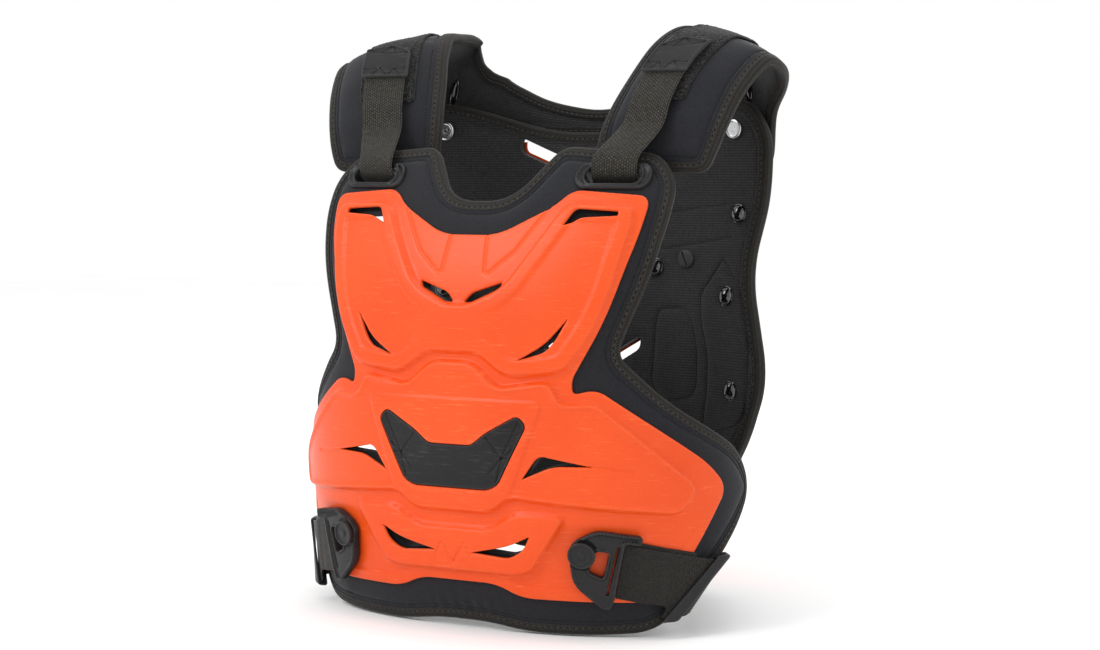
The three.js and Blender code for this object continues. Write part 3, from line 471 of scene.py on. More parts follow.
# The pad's half outline: across and up as shares of its half girth and height, rounding in mm
pad_rows = [
    (0.097, 0.886, 22), (0.207, 1.0, 12), (0.503, 0.984, 16), (0.572, 0.927, 18), (0.573, 0.856, 20),
    (0.55, 0.735, 30), (0.472, 0.576, 12), (0.628, 0.477, 25), (0.903, 0.369, 30), (1.0, 0.285, 24),
    (0.572, 0.008, 24), (0.414, 0.001, 20), (0.207, 0, 20), (0.076, 0.014, 15),
]
# The vents' corners, in the same way, as shares of the shell's half girth and height
vent_rows = {
    "shoulder": [(0.352, 0.907, 3), (0.386, 0.95, 5), (0.536, 0.944, 2), (0.538, 0.933, 2),
                 (0.411, 0.928, 6)],
    "brow": [(0.161, 0.776, 2), (0.153, 0.761, 2), (0.051, 0.726, 2), (0.021, 0.726, 2), (0.047, 0.749, 5)],
    "rib": [(0.411, 0.691, 1.5), (0.373, 0.639, 9), (0.341, 0.611, 8), (0.248, 0.59, 1.5), (0.339, 0.63, 9)],
    "flank": [(0.335, 0.361, 7), (0.502, 0.338, 1.5), (0.373, 0.337, 8), (0.267, 0.303, 1.5),
              (0.314, 0.352, 6)],
    "hem": [(0.288, 0.163, 1.5), (0.263, 0.127, 6), (0.212, 0.105, 6), (0.072, 0.113, 1.5),
            (0.212, 0.136, 8)],
}
pad_outline = Outline(both_halves(pad_rows, PAD_GIRTH, PAD_HIGH))
vents = [Outline(table(rows, *SHELL, side), 1.5) for rows in vent_rows.values() for side in (1, -1)]
GROMMET_UP = SHELL_LIFT + SHELL_HIGH + 0.8 + 10.5
GROMMET_AT = 0.39 * PAD_GIRTH


def oval(width, height, across, up):
    """A slot's outline with round ends."""
    rows = []
    for side in (1, -1):
        for degrees in (-75, -45, -15, 15, 45, 75):
            bend = math.radians(degrees)
            rows.append((across + side * ((width - height) / 2 + 0.517 * height * math.cos(bend)),
                         up + side * 0.517 * height * math.sin(bend), 3))
    return Outline(rows, 1.5)


SQUARE = ((-1, -1), (1, -1), (1, 1), (-1, 1))


def plate(width, height, across, up, rounding):
    return Outline([(across + x * width / 2, up + y * height / 2, rounding) for x, y in SQUARE], 1.5)


def pillow(edge, welt=12.0):
    """How far a padded face lies under its full height, by the distance from the pad's edge."""
    return np.interp(edge, [0, 3, 8, welt - 1.2, welt, welt + 1.2, welt + 4, welt + 10],
                     [2.6, 2.2, 1.7, 1.5, 2.3, 1.2, 0.5, 0.0])


def welt_points(edge, pitch, welt=12.0):
    return on_levels(distance, edge, (8.5, welt - 1.2, welt, welt + 1.2, welt + 4), 0, pitch)


def hem_folds(points):
    """Soft wrinkles where the cover is pulled round the notch in the hem's centre."""
    reach = np.exp(-((points[:, 0] / 34) ** 2) - (np.maximum(points[:, 1] - 12, 0) / 16) ** 2)
    return 0.7 * reach * np.sin(points[:, 0] * 0.55 + 0.4 * np.sin(points[:, 1] * 0.3))


pad_edge = pad_outline.ring()
COVER_IN = 4
PAD_SLOT = (50, 17)


def pad_heights(points):
    edge = distance(points, pad_edge)
    dips = np.zeros(len(points))
    for vent in vents:
        dips = np.maximum(dips, 1.5 * np.exp(-distance(points, vent.ring()) / 2.5))
    top = 0.35 - pillow(edge) - dips + hem_folds(points)
    return top, -PAD_THICK + 0.4 + 0.9 * pillow(edge)


slots_in_pad = [oval(*PAD_SLOT, side * GROMMET_AT, GROMMET_UP) for side in (1, -1)]
front_pad = formed(
    "front_pad_cover",
    [pad_outline.ring(COVER_IN), *(vent.ring() for vent in vents), *(slot.ring() for slot in slots_in_pad)],
    pad_heights, on_front, 4.0, welt_points(pad_edge, 3), finishes=(neoprene, knit, foam),
)
fitted(front_pad, "pad_cover", "front_pad")

# Edge tape
# Ribbed grosgrain tape folded over every pad's edge and lock-stitched through both faces.
# It rolls round the compressed foam, and the stitches sink a little into it.
# Its pale tint is a painted highlight on the thread tops, and its gaps get painted shade.
tape_cloth = cloth("grosgrain tape", (0.010, 0.0093, 0.008), (0.034, 0.031, 0.027), 1.9, 3.4, 0.5, 0.35,
                   rough=(0.55, 0.8), sheen=0.08, glint_tint=(0.06, 0.055, 0.046), glint_amount=0.6)
thread, tree, shader = new_finish("stitching thread", Specular_IOR_Level=0.35)
tint = dusted(tree, shader, (0.018, 0.017, 0.015), (0.075, 0.07, 0.061), 300.0, 0.8, (0.45, 0.7))
tree.links.new(tint, shader.inputs["Base Color"])
twist = node(tree, "TexWave", {"Vector": node(tree, "UVMap", uv_map="pattern").outputs[0], "Scale": 900.0},
             bands_direction="DIAGONAL").outputs[1]
bumped(tree, shader, twist, 0.5, 0.00012)


def swept(name, rings, pattern, finish, slot, *nodes):
    """Closed rings of points, joined into a tube that closes on itself."""
    rings = np.array(rings)
    sections, around = rings.shape[:2]
    index = np.arange(sections * around).reshape(sections, around)
    here, beyond = index, np.roll(index, -1, 0)
    corners = [here, np.roll(here, -1, 1), np.roll(beyond, -1, 1), beyond]
    faces = np.stack(corners, -1).reshape(-1, 4).tolist()
    piece = new_piece(name, rings.reshape(-1, 3), faces, pattern.reshape(-1, 2), (finish,), sharp=60)
    return fitted(piece, slot, *nodes)


def stamped(name, points, faces, spots, surface, finish, sharp=38):
    """One small form repeated at spots: each holds a place, a turn in radians and a height."""
    points = np.asarray(points, float)
    whole, pattern, all_faces = [], [], []
    for i, (across, up, turn, out) in enumerate(spots):
        cos, sin = math.cos(turn), math.sin(turn)
        x = across + points[:, 0] * cos - points[:, 1] * sin
        y = up + points[:, 0] * sin + points[:, 1] * cos
        whole.append(np.stack([x, y, out + points[:, 2]], 1))
        pattern.append(points[:, :2])
        all_faces += [[corner + i * len(points) for corner in face] for face in faces]
    whole = np.concatenate(whole)
    bent = surface(whole[:, 0], whole[:, 1], whole[:, 2])
    return new_piece(name, bent, all_faces, np.concatenate(pattern), (finish,), sharp=sharp)


def stitch_form(length, radius, sides=6):
    """A stitch: a short thread that dives into the cloth at both ends."""
    points, faces = [], []
    shares = (-1, -0.7, 0, 0.7, 1)
    for share in shares:
        dive = -1.6 * abs(share) ** 3 * radius
        thick = radius * (1 - 0.45 * abs(share) ** 3)
        for corner in range(sides):
            angle = 2 * math.pi * corner / sides
            points.append((share * length / 2, thick * math.cos(angle), dive + thick * math.sin(angle)))
    last = (len(shares) - 1) * sides
    for ring in range(0, last, sides):
        for corner in range(sides):
            a, b = ring + corner, ring + (corner + 1) % sides
            faces.append([a, a + sides, b + sides, b])
    faces += [list(range(sides)), list(range(last, last + sides))[::-1]]
    return points, faces


def run_of(line):
    """The length run from a line's start to each of its points."""
    return np.concatenate([[0], np.cumsum(np.linalg.norm(np.diff(line, axis=0), axis=1))])


def along_line(line, pitch):
    """Even spots along a closed line, with the line's direction at each."""
    ends = np.concatenate([line, line[:1]])
    steps = np.diff(ends, axis=0)
    run = run_of(ends)
    count = max(2, int(run[-1] / pitch))
    marks = (np.arange(count) + 0.5) * run[-1] / count
    x = np.interp(marks, run, ends[:, 0])
    y = np.interp(marks, run, ends[:, 1])
    at = np.clip(np.searchsorted(run, marks) - 1, 0, len(steps) - 1)
    return [(x[i], y[i], math.atan2(steps[k, 1], steps[k, 0])) for i, k in enumerate(at)]


def stitched(name, lines, surface, pitch=5.2, length=3.4, radius=0.55):
    """Rows of stitches, each with its closed line and its height."""
    points, faces = stitch_form(length, radius)
    spots = [(*spot, out) for line, out in lines for spot in along_line(line, pitch)]
    return fitted(stamped(name, points, faces, spots, surface, thread, 60), "binding_tape")


TAPE_WIDE = 8.5
TAPE_LIFT = 0.5
STITCH_IN, STITCH_SUNK = 6.2, 0.95


def edge_tape(pad, outline, surface, thickness, node_name):
    """Folds a tape over a pad's edge and sews it down on both faces."""
    over = [(TAPE_WIDE, -1.9), (TAPE_WIDE, -1.2), (TAPE_WIDE - 0.7, -0.95), (TAPE_WIDE - 1.4, -1.0),
            (TAPE_WIDE - 2.3, -1.9), (TAPE_WIDE - 3.2, -1.15), (0.38 * TAPE_WIDE, -1.5),
            (0.18 * TAPE_WIDE, -2.0), (0.05 * TAPE_WIDE, -2.9)]
    section = [(inset, out + TAPE_LIFT) for inset, out in over]
    section += [(0, -0.36 * thickness), (0, -0.5 * thickness), (0, -0.64 * thickness)]
    section += [(inset, -thickness - out - TAPE_LIFT) for inset, out in over[::-1]]
    section += [(TAPE_WIDE - 1.6, -thickness + 2.6), (1.6, -0.5 * thickness), (TAPE_WIDE - 1.6, -2.6)]
    flat = [outline.ring(inset) for inset, _ in section]
    rings = [surface(ring[:, 0], ring[:, 1], out) for ring, (_, out) in zip(flat, section)]
    run, girth = run_of(outline.ring()), run_of(np.array(section))
    pattern = np.stack([np.tile(run, (len(section), 1)), np.tile(girth[:, None], (1, len(run)))], -1)
    swept(pad + "_tape", rings, pattern, tape_cloth, "binding_tape", node_name)
    seam = outline.ring(STITCH_IN)
    stitched(pad + "_stitching", [(seam, -STITCH_SUNK), (seam, STITCH_SUNK - thickness)], surface)


edge_tape("front_pad", pad_outline, on_front, PAD_THICK, "front_binding")

# Front shell
# One injection-moulded sheet of orange polypropylene, 2.5 mm thick, with raised fields, ridged
# rims and vents. It is satin with a fine grain and faint pale scratches, and a painted highlight
# lies along its sharp edges and ridges.
plastic_grain, given, made = effect(
    "moulded grain", [("Grain", "Float", 1200.0), ("Flow", "Float", 14.0)],
    [("Height", "Float"), ("Streak", "Float")],
)
pits, waves = noise(plastic_grain, given["Grain"], 2.0), noise(plastic_grain, given["Flow"], 2.0)
plastic_grain.links.new(combined(plastic_grain, "MULTIPLY_ADD", waves, 6.0, pits), made["Height"])
place = node(plastic_grain, "TexCoord").outputs["Object"]
place = node(plastic_grain, "Mapping", {0: place, "Scale": (60.0, 60.0, 900.0)}).outputs[0]
scratch = node(plastic_grain, "TexNoise", {"Vector": place, "Scale": 1.0, "Detail": 4.0}).outputs[0]
plastic_grain.links.new(stepped(plastic_grain, scratch, 0.6, 0.75), made["Streak"])


def moulded(name, deep, pale, rough, grain=1200.0, depth=0.05, edge=(1, 1, 1), highlight_and_scratch_share=0.25, **sockets):
    """Moulded plastic or rubber: fine grain, faint pale scratches and a painted highlight on sharp edges."""
    material, tree, shader = new_finish(name, **sockets)
    skin = placed(tree, plastic_grain, {"Grain": grain})
    tint = dusted(tree, shader, deep, pale, 12.0, 0.6, rough)
    # Painted highlight: sharp edges and ridges (pointiness) are mixed towards the pale edge colour; the
    # streaks mixed in with them are real scratches.
    painted_edge_highlight = stepped(tree, node(tree, "NewGeometry").outputs["Pointiness"], 0.52, 0.6)
    highlight_and_scratches = combined(tree, "MULTIPLY", combined(tree, "MAXIMUM", painted_edge_highlight, skin["Streak"]), highlight_and_scratch_share)
    tree.links.new(blend(tree, highlight_and_scratches, tint, (*edge, 1)), shader.inputs["Base Color"])
    bumped(tree, shader, skin["Height"], 0.35, depth * 0.001)
    return material


# Its pale edge colour is a painted highlight on the rims and ridges, and also the colour of its scratches.
orange = moulded("orange polypropylene", (0.70, 0.062, 0.005), (0.79, 0.09, 0.011), (0.32, 0.44),
                 edge=(1.0, 0.26, 0.09), highlight_and_scratch_share=0.3, Specular_IOR_Level=0.26, Coat_Weight=0.04,
                 Coat_Roughness=0.3)

SEAT_GAP = 0.9
SHELL_WALL = 2.5
SHELL_FACE = SEAT_GAP + SHELL_WALL
RELIEF = 5.0
SHELL_ROUND = 1.3
BADGE_BED = SHELL_FACE + RELIEF - 3.0
BED_ROOM = 0.8
# How far in from a line its step or groove begins, is nearly down, nearly up and ends
FIELD_STEP = (-4.6, -3.6, -0.4, 0.6)
CHEST_GROOVE = (8.6, 9.4, 11.6, 12.4)
HEM_GROOVE = (7.6, 8.4, 10.0, 10.8)
FRAME_STEP = (0, 0.8, 2.6, 3.4)
# Half outlines of the shell and its fields, as shares of its half girth and height, rounding in mm
shell_rows = [
    (0.11, 0.889, 14), (0.297, 0.959, 10), (0.356, 1.0, 9), (0.631, 0.986, 11), (0.617, 0.898, 24),
    (0.538, 0.694, 36), (0.432, 0.547, 12), (0.436, 0.511, 5), (0.517, 0.524, 9), (0.915, 0.337, 24),
    (1.0, 0.273, 15), (0.729, 0, 15), (0.242, 0.003, 11), (0.148, 0.034, 11),
]
chest_rows = [
    (0.042, 0.712, 6), (0.178, 0.755, 14), (0.263, 0.846, 18), (0.356, 0.956, 10), (0.576, 0.951, 8),
    (0.583, 0.913, 12), (0.538, 0.754, 30), (0.492, 0.666, 24), (0.411, 0.578, 12), (0.364, 0.567, 8),
    (0.229, 0.557, 7), (0.186, 0.566, 7), (0.102, 0.61, 9),
]
belly_rows = [
    (0.076, 0.575, 9), (0.174, 0.515, 9), (0.356, 0.535, 7), (0.396, 0.48, 8), (0.513, 0.488, 9),
    (0.856, 0.279, 11), (0.792, 0.224, 9), (0.216, 0.261, 9), (0.148, 0.221, 9),
]
hem_rows = [(0.148, 0.168, 9), (0.237, 0.212, 9), (0.403, 0.212, 7), (0.284, 0.079, 10), (0.229, 0.069, 8)]
badge_rows = [
    (0.085, 0.378, 5), (0.14, 0.41, 5), (0.254, 0.456, 5), (0.284, 0.434, 5), (0.182, 0.288, 8),
    (0.144, 0.274, 6),
]
# The frame that stands up round the badge, and pressed lines as open runs of places
frame_rows = [(0.33, 0.487, 4), (0.302, 0.428, 8), (0.266, 0.36, 8), (0.222, 0.27, 6), (0.15, 0.235, 6)]
fan_line = [(0.072, 0.889), (0.085, 0.80), (0.1, 0.795), (0.19, 0.85), (0.285, 0.955)]
flank_line = [(0.502, 0.338), (0.64, 0.326)]
hem_line = [(0.0, 0.088), (0.045, 0.134), (0.069, 0.103)]


def shell_table(rows):
    return Outline(both_halves(rows, *SHELL), 2.0)


def shell_line(rows, side):
    return np.array([(side * across * SHELL_GIRTH, SHELL_LIFT + up * SHELL_HIGH) for across, up in rows])


shell_outline = shell_table(shell_rows)
chest_field, belly_field, hem_field = (shell_table(rows) for rows in (chest_rows, belly_rows, hem_rows))
badge_outline = shell_table(badge_rows)
badge_frame = shell_table(frame_rows)
pressed = [shell_line(line, side) for line in (fan_line, flank_line, hem_line) for side in (1, -1)]
shell_edge = shell_outline.ring()


def off_line(points, line):
    return distance(points, line, False)


def bell(away, width):
    return np.exp(-((away / width) ** 2))


def rounded(edge, radius):
    """How far a rounded edge lies under its face, by the distance from its outline."""
    left = np.clip(radius - edge, 0, radius)
    return radius - np.sqrt(np.maximum(radius**2 - left**2, 0))


def shell_level(points):
    """Height of the shell's outer skin before its edges are rounded."""
    level = np.full(len(points), SHELL_FACE)
    for field in (chest_field, belly_field, hem_field):
        deep = depth_in(points, field.ring())
        level += np.interp(deep, FIELD_STEP, [0, 0.08 * RELIEF, 0.92 * RELIEF, RELIEF])
        if field is chest_field:
            fade = smooth((np.abs(points[:, 0]) - 22) / 26)
            fade = np.maximum(fade, smooth((points[:, 1] - 262) / 12))
            level -= fade * np.interp(deep, CHEST_GROOVE, [0, 0.15, 1.85, 2.0])
        if field is belly_field:
            wing = depth_in(points, badge_frame.ring())
            level -= np.interp(-wing, FRAME_STEP, [0, 0.1, 1.5, 1.6]) * smooth((deep - 0.6) / 3)
    edge = distance(points, shell_edge)
    tongue = smooth((SHELL_LIFT + 0.2 * SHELL_HIGH - points[:, 1]) / 12)
    outside_hem = smooth((-depth_in(points, hem_field.ring()) - 4.6) / 2)
    level -= tongue * outside_hem * np.interp(edge, HEM_GROOVE, [0, 0.1, 1.2, 1.3])
    for line in pressed:
        level -= 0.9 * bell(off_line(points, line), 1.1)
    return level


def shell_heights(points):
    level = shell_level(points)
    bed = depth_in(points, badge_outline.ring(-BED_ROOM))
    low = np.maximum(np.where(bed > -3, BADGE_BED, level) - SHELL_WALL, SEAT_GAP)
    level = np.where(bed > -0.05, BADGE_BED, level)
    edge = distance(points, shell_edge)
    for vent in vents:
        edge = np.minimum(edge, distance(points, vent.ring()))
    return level - rounded(edge, SHELL_ROUND), low


shell_points = shell_outline.rings(0.25, 0.6, SHELL_ROUND, 3.0)
shell_points += [vent.ring(-inset) for vent in vents for inset in (0.25, 0.6, SHELL_ROUND, 2.6)]
for field, marks in ((chest_field, FIELD_STEP + CHEST_GROOVE), (belly_field, FIELD_STEP),
                     (hem_field, FIELD_STEP), (badge_frame, [-mark for mark in FRAME_STEP])):
    shell_points += on_levels(depth_in, field.ring(), marks, 6, 1.5)
hem_top = np.array([shell_edge[:, 0].max(), SHELL_LIFT + 0.22 * SHELL_HIGH])
shell_points += on_levels(distance, shell_edge, HEM_GROOVE, 0, 1.5, hem_top)
for line in pressed:
    shell_points += on_levels(off_line, line, (0.5, 1.2, 2.2), 4, 1.2)
front_shell = formed(
    "front_shell_moulding", [shell_outline.ring(), *(vent.ring() for vent in vents)],
    shell_heights, on_front, 2.6, shell_points,
    [badge_outline.ring(-BED_ROOM), badge_outline.ring(-BED_ROOM - 0.1)], (orange,), sharp=50,
)
fitted(front_shell, "shell", "front_shell")

# Badge
# A soft black rubber plate let into the belly field, with pressed facet lines at its two wings
# and a bare middle. It is moulded, not printed, and glued into its shallow bed.
# Its pale edge colour is a painted highlight on the rims and edges, and also the colour of its scratches.
rubber = moulded("black rubber", (0.012, 0.012, 0.013), (0.03, 0.03, 0.031), (0.42, 0.6), 2200.0, 0.04,
                 (0.08, 0.08, 0.08), 0.5, Specular_IOR_Level=0.14)
badge_lines = [
    [(0.136, 0.406), (0.196, 0.352), (0.262, 0.45)], [(0.196, 0.352), (0.266, 0.392)],
    [(0.196, 0.352), (0.176, 0.288)], [(0.152, 0.315), (0.196, 0.352), (0.232, 0.352)],
]
badge_grooves = [shell_line(line, side) for line in badge_lines for side in (1, -1)]


def grooved_plate(face, thick, outline, grooves, rim=0.0, rim_width=2.0, depth=0.95):
    """Heights of a moulded plate with a rounded edge, a raised rim and pressed lines."""

    def heights(points):
        edge = distance(points, outline.ring())
        level = face + thick - rim * np.interp(edge, [rim_width - 0.4, rim_width + 0.4], [0, 1])
        level -= rounded(edge, 0.7)
        for line in grooves:
            level -= depth * bell(off_line(points, line), 0.75) * (edge > rim_width)
        return level, face

    return heights


def groove_points(grooves):
    return [points for line in grooves for points in on_levels(off_line, line, (0.3, 0.8, 1.5), 2, 0.7)]


badge = formed(
    "badge_plate", [badge_outline.ring()],
    grooved_plate(BADGE_BED + 0.35, 3.1, badge_outline, badge_grooves, 0.5, 1.6), on_front, 2.0,
    badge_outline.rings(0.2, 0.7, 1.2, 2.0) + groove_points(badge_grooves),
    finishes=(rubber,),
)
fitted(badge, "badge_rubber", "badge")

# Shoulder yoke
# One padded strip from chest to chest round the back of the neck: foam in neoprene outside and
# knit inside, crowned over the shoulders, taped and stitched all round like the pads.


def catmull(points, t):
    """Points on a centripetal Catmull-Rom curve through the given points."""
    place = (len(points) - 1) * t
    at = np.clip(np.floor(place).astype(int), 0, len(points) - 2)
    w = (place - at)[..., None]
    more = np.vstack([2 * points[0] - points[1], points, 2 * points[-1] - points[-2]])
    p0, p1, p2, p3 = (more[at + i] for i in range(4))
    steps = (p1 - p0, p2 - p1, p3 - p2)
    d0, d1, d2 = (np.sqrt(np.linalg.norm(step, axis=-1))[..., None] for step in steps)
    leave = ((p1 - p0) / d0 - (p2 - p0) / (d0 + d1) + (p2 - p1) / d1) * d1
    come = ((p2 - p1) / d1 - (p3 - p1) / (d1 + d2) + (p3 - p2) / d2) * d1
    rise = w**2 * (3 * (p2 - p1) - 2 * leave - come)
    return p1 + w * leave + rise + w**3 * (2 * (p1 - p2) + leave + come)


class Strip:
    """A band between two edge curves; rows hold a place on each edge and a crown between them."""

    def __init__(self, rows, reach=0.5):
        self.one = np.array([row[0] for row in rows], float)
        self.two = np.array([row[1] for row in rows], float)
        self.crown = np.array([row[2] for row in rows], float)
        self.stations = run_of((self.one + self.two) / 2)
        self.length = self.stations[-1]
        self.reach = reach

    def share(self, along):
        at = np.clip(np.searchsorted(self.stations, along) - 1, 0, len(self.stations) - 2)
        part = (along - self.stations[at]) / (self.stations[at + 1] - self.stations[at])
        return at, part, (at + part) / (len(self.stations) - 1)

    def width(self, along):
        t = np.clip(self.share(np.asarray(along, float))[2], 0, 1)
        return np.linalg.norm(catmull(self.one, t) - catmull(self.two, t), axis=-1)

    def skin(self, along, across):
        t = self.share(along)[2]
        held = np.clip(t, 0, 1)
        a, b = catmull(self.one, held), catmull(self.two, held)
        past, next_to = np.clip(held - 1e-4, 0, 1), np.clip(held + 1e-4, 0, 1)
        edges = (self.one, self.two)
        run = unit(sum(unit(catmull(edge, next_to) - catmull(edge, past)) for edge in edges))
        beyond = (t - held) * (len(self.stations) - 1) * (self.stations[1] - self.stations[0])
        share = across / np.linalg.norm(a - b, axis=-1) + 0.5
        return a + (b - a) * share[..., None] + run * beyond[..., None]

    def point(self, along, across, out):
        along, across, out = alike(along, across, out)
        back, ahead = np.maximum(0, along - self.reach), np.minimum(self.length, along + self.reach)
        run = self.skin(ahead, across) - self.skin(back, across)
        side = self.skin(along, across + 0.5) - self.skin(along, across - 0.5)
        normal = unit(np.cross(run, side))
        at, part, _ = self.share(along)
        crown = self.crown[at] + (self.crown[at + 1] - self.crown[at]) * smooth(part)
        bulge = crown * (1 - (2 * across / self.width(along)) ** 2)
        return self.skin(along, across) + normal * (out + bulge)[..., None]


BACK_LIFT = 24.0
BACK_HIGH = 413.0
BACK_GIRTH = 200.0
BACK = (BACK_GIRTH, BACK_HIGH, BACK_LIFT)


def back_depth(up):
    """The back's plane, hollowed at the waist."""
    share = (up - BACK_LIFT) / BACK_HIGH
    return 72 - 9 * np.sin(math.pi * np.clip(1.25 * (0.8 - share), 0, 1)) ** 2


def on_back(across, up, out):
    return bent_panel(-np.asarray(across, float), up, out, back_depth, 22, 35, 1)


SHOULDER = np.array([217.0, 100.0, 98.0])
YOKE_THICK = 10.0
YOKE_CROWN = 13.0
YOKE_WELT = 12.5
COLLAR_LOW = BACK_LIFT + 0.921 * BACK_HIGH
COLLAR_TOP = COLLAR_LOW + 23.6
CLIMB = 66.0
# Behind the neck: inner edge across and climb, outer edge across and fall, and crown, all as shares
collar_rows = [(0.26, 0.136, 0.3, 0.015, 0), (0.47, 0.424, 0.6, 0.03, 0.05),
               (0.57, 0.712, 0.865, -0.455, 0.4)]
# Over the shoulders: inner and outer edge as shares of half width, reach and drop, and crown
shoulder_rows = [
    ((0.539, 0.24, 0.33), (0.935, 0.32, -0.16), 0.3), ((0.507, -0.02, 0.3), (0.98, 0, -0.05), 0.6),
    ((0.461, -0.27, 0.14), (0.972, -0.32, 0), 0.8), ((0.406, -0.52, -0.18), (0.926, -0.62, -0.235), 1.0),
    ((0.369, -0.71, -0.46), (0.889, -0.78, -0.51), 0.8), ((0.35, -0.82, -0.71), (0.857, -0.86, -0.76), 0.4),
    ((0.36, -0.87, -0.96), (0.82, -0.89, -0.96), 0.1),
]


def collar_row(inner, inner_up, outer, outer_up, crown):
    out = SEAT_GAP + YOKE_THICK
    return (on_back(-inner * BACK_GIRTH, inner_up, out), on_back(-outer * BACK_GIRTH, outer_up, out),
            crown * YOKE_CROWN)


left_rows = [collar_row(inner, COLLAR_TOP + climb * CLIMB, outer, COLLAR_LOW + fall * CLIMB, crown)
             for inner, climb, outer, fall, crown in collar_rows]
left_rows.append(collar_row(0.62, COLLAR_TOP + CLIMB, 0.895, BACK_LIFT + BACK_HIGH - 0.212 * CLIMB, 0.4))
left_rows += [(inner * SHOULDER, outer * SHOULDER, crown * YOKE_CROWN)
              for inner, outer, crown in shoulder_rows]
mirror = np.array([-1, 1, 1])
right_rows = [(inner * mirror, outer * mirror, crown) for inner, outer, crown in left_rows[::-1]]
yoke = Strip([*right_rows, collar_row(0, COLLAR_TOP, 0, COLLAR_LOW, 0), *left_rows], YOKE_THICK)
yoke_half = yoke.width(yoke.stations) / 2
yoke_side = [(along, half, 26 if i in (0, len(yoke_half) - 1) else 18)
             for i, (along, half) in enumerate(zip(yoke.stations, yoke_half))]
yoke_outline = Outline(yoke_side + [(along, -half, turn) for along, half, turn in yoke_side[::-1]])
yoke_edge = yoke_outline.ring()
SHOULDER_START = yoke.stations[-7]


def yoke_heights(points):
    edge = distance(points, yoke_edge)
    along = np.maximum(points[:, 0], yoke.length - points[:, 0])
    creases = sum(depth * bell(along - SHOULDER_START - at + 0.12 * points[:, 1], width)
                  for at, depth, width in ((14, 0.9, 3.0), (40, 0.6, 3.5), (-26, 0.8, 3.0)))
    top = 0.3 - pillow(edge, YOKE_WELT) - creases * smooth((edge - 9) / 8)
    return top, -7.6 + 0.5 * pillow(edge)


yoke_cover = formed(
    "shoulder_yoke_cover", [yoke_outline.ring(COVER_IN)], yoke_heights, yoke.point, 4.0,
    welt_points(yoke_edge, 2.5, YOKE_WELT), finishes=(neoprene, knit, knit),
)
fitted(yoke_cover, "pad_cover", "shoulder_yoke")
edge_tape("shoulder_yoke", yoke_outline, yoke.point, YOKE_THICK, "yoke_binding")

# Loop patches
# A fuzzy loop pile sewn down on each shoulder, to which the webbing's end is pressed.
# Its pile is uneven, matted where it has been pulled, and speckled with paler loop ends.
pile, tree, shader = new_finish("loop pile", Sheen_Weight=0.12, Sheen_Roughness=0.5, Specular_IOR_Level=0.1)
spots = noise(tree, 560.0, 4.0, 0.75)
speck = combined(tree, "MULTIPLY", stepped(tree, spots, 0.5, 0.72), 0.8)
tint = dusted(tree, shader, (0.006, 0.006, 0.0065), (0.016, 0.016, 0.016), 60.0, 0.8, (0.85, 1.0))
tree.links.new(blend(tree, speck, tint, (0.10, 0.098, 0.094, 1)), shader.inputs["Base Color"])
bumped(tree, shader, spots, 1.0, 0.0006)

PATCH = (118.0, 52.0)
PATCH_MIDDLE = -0.15 * PATCH[1]
PATCH_START = SHOULDER_START + 0.05 * PATCH[0]
PATCH_LIFT = 1.26
PATCH_SEAM = 3.2
PILE_HIGH = 1.7
PILE_UNEVEN = 0.16
patch_outline = plate(PATCH[0], PATCH[1], PATCH_START + PATCH[0] / 2, PATCH_MIDDLE, 6)
fuzz = np.random.default_rng(7)


def pile_heights(points):
    edge = distance(points, patch_outline.ring())
    seam = 0.9 * bell(edge - PATCH_SEAM, 1.1)
    top = PATCH_LIFT + PILE_HIGH - seam + fuzz.normal(0, PILE_UNEVEN, len(points)) - 0.9 * np.exp(-edge / 0.5)
    return top, PATCH_LIFT


def twin(piece, slot, *nodes):
    """The same piece on the wearer's other side."""
    mesh = piece.data.copy()
    mesh.transform(Matrix.Scale(-1, 4, (1, 0, 0)))
    mesh.flip_normals()
    other = bpy.data.objects.new(piece.name.replace("left", "right"), mesh)
    bpy.context.scene.collection.objects.link(other)
    return fitted(other, slot, *(name.replace("left", "right") for name in nodes))


def paired(piece, slot, *nodes):
    return (("left", fitted(piece, slot, *nodes)), ("right", twin(piece, slot, *nodes)))


patch = formed(
    "left_loop_pile", [patch_outline.ring()], pile_heights, yoke.point, 1.25,
    patch_outline.rings(0.5, 1.1, 1.8, PATCH_SEAM), finishes=(pile,), sharp=180,
)
for _, piece in paired(patch, "loop_patch", "left_loop_patch"):
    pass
seam = [(patch_outline.ring(PATCH_SEAM), PATCH_LIFT + 1.3)]
twin(stitched("left_patch_stitching", seam, yoke.point, 3.6, 2.5, 0.35), "binding_tape")

# Grommets
# Black plastic eyelets clamped in the pad's two upper tabs: a double beaded oval ring on the
# face and a sleeve through the foam. The shoulder webbing passes through the slot.
# Its pale edge colour is a painted highlight on the edges, and also the colour of its scratches.
fitting_black = moulded("black fitting plastic", (0.008, 0.008, 0.009), (0.02, 0.02, 0.021), (0.24, 0.42),
                        1600.0, 0.03, (0.07, 0.07, 0.07), 0.25, Specular_IOR_Level=0.24)
FLANGE = (64, 21)
THROAT = (46, 12)
grommet_outline = oval(*FLANGE, GROMMET_AT, GROMMET_UP)
grommet_slot = oval(*THROAT, GROMMET_AT, GROMMET_UP)


def grommet_heights(points):
    edge = distance(points, grommet_outline.ring())
    slot = distance(points, grommet_slot.ring())
    top = SEAT_GAP + np.where(
        edge < slot, np.interp(edge, [0, 0.4, 1.0, 1.9, 2.6, 3.4], [0.8, 2.0, 2.9, 3.2, 2.8, 1.9]),
        np.interp(slot, [0, 0.3, 0.8, 1.5, 2.2, 3.0], [1.2, 2.4, 3.3, 3.5, 3.0, 1.9]))
    return top, np.where(slot < 1.9, -PAD_THICK, SEAT_GAP - 0.5)


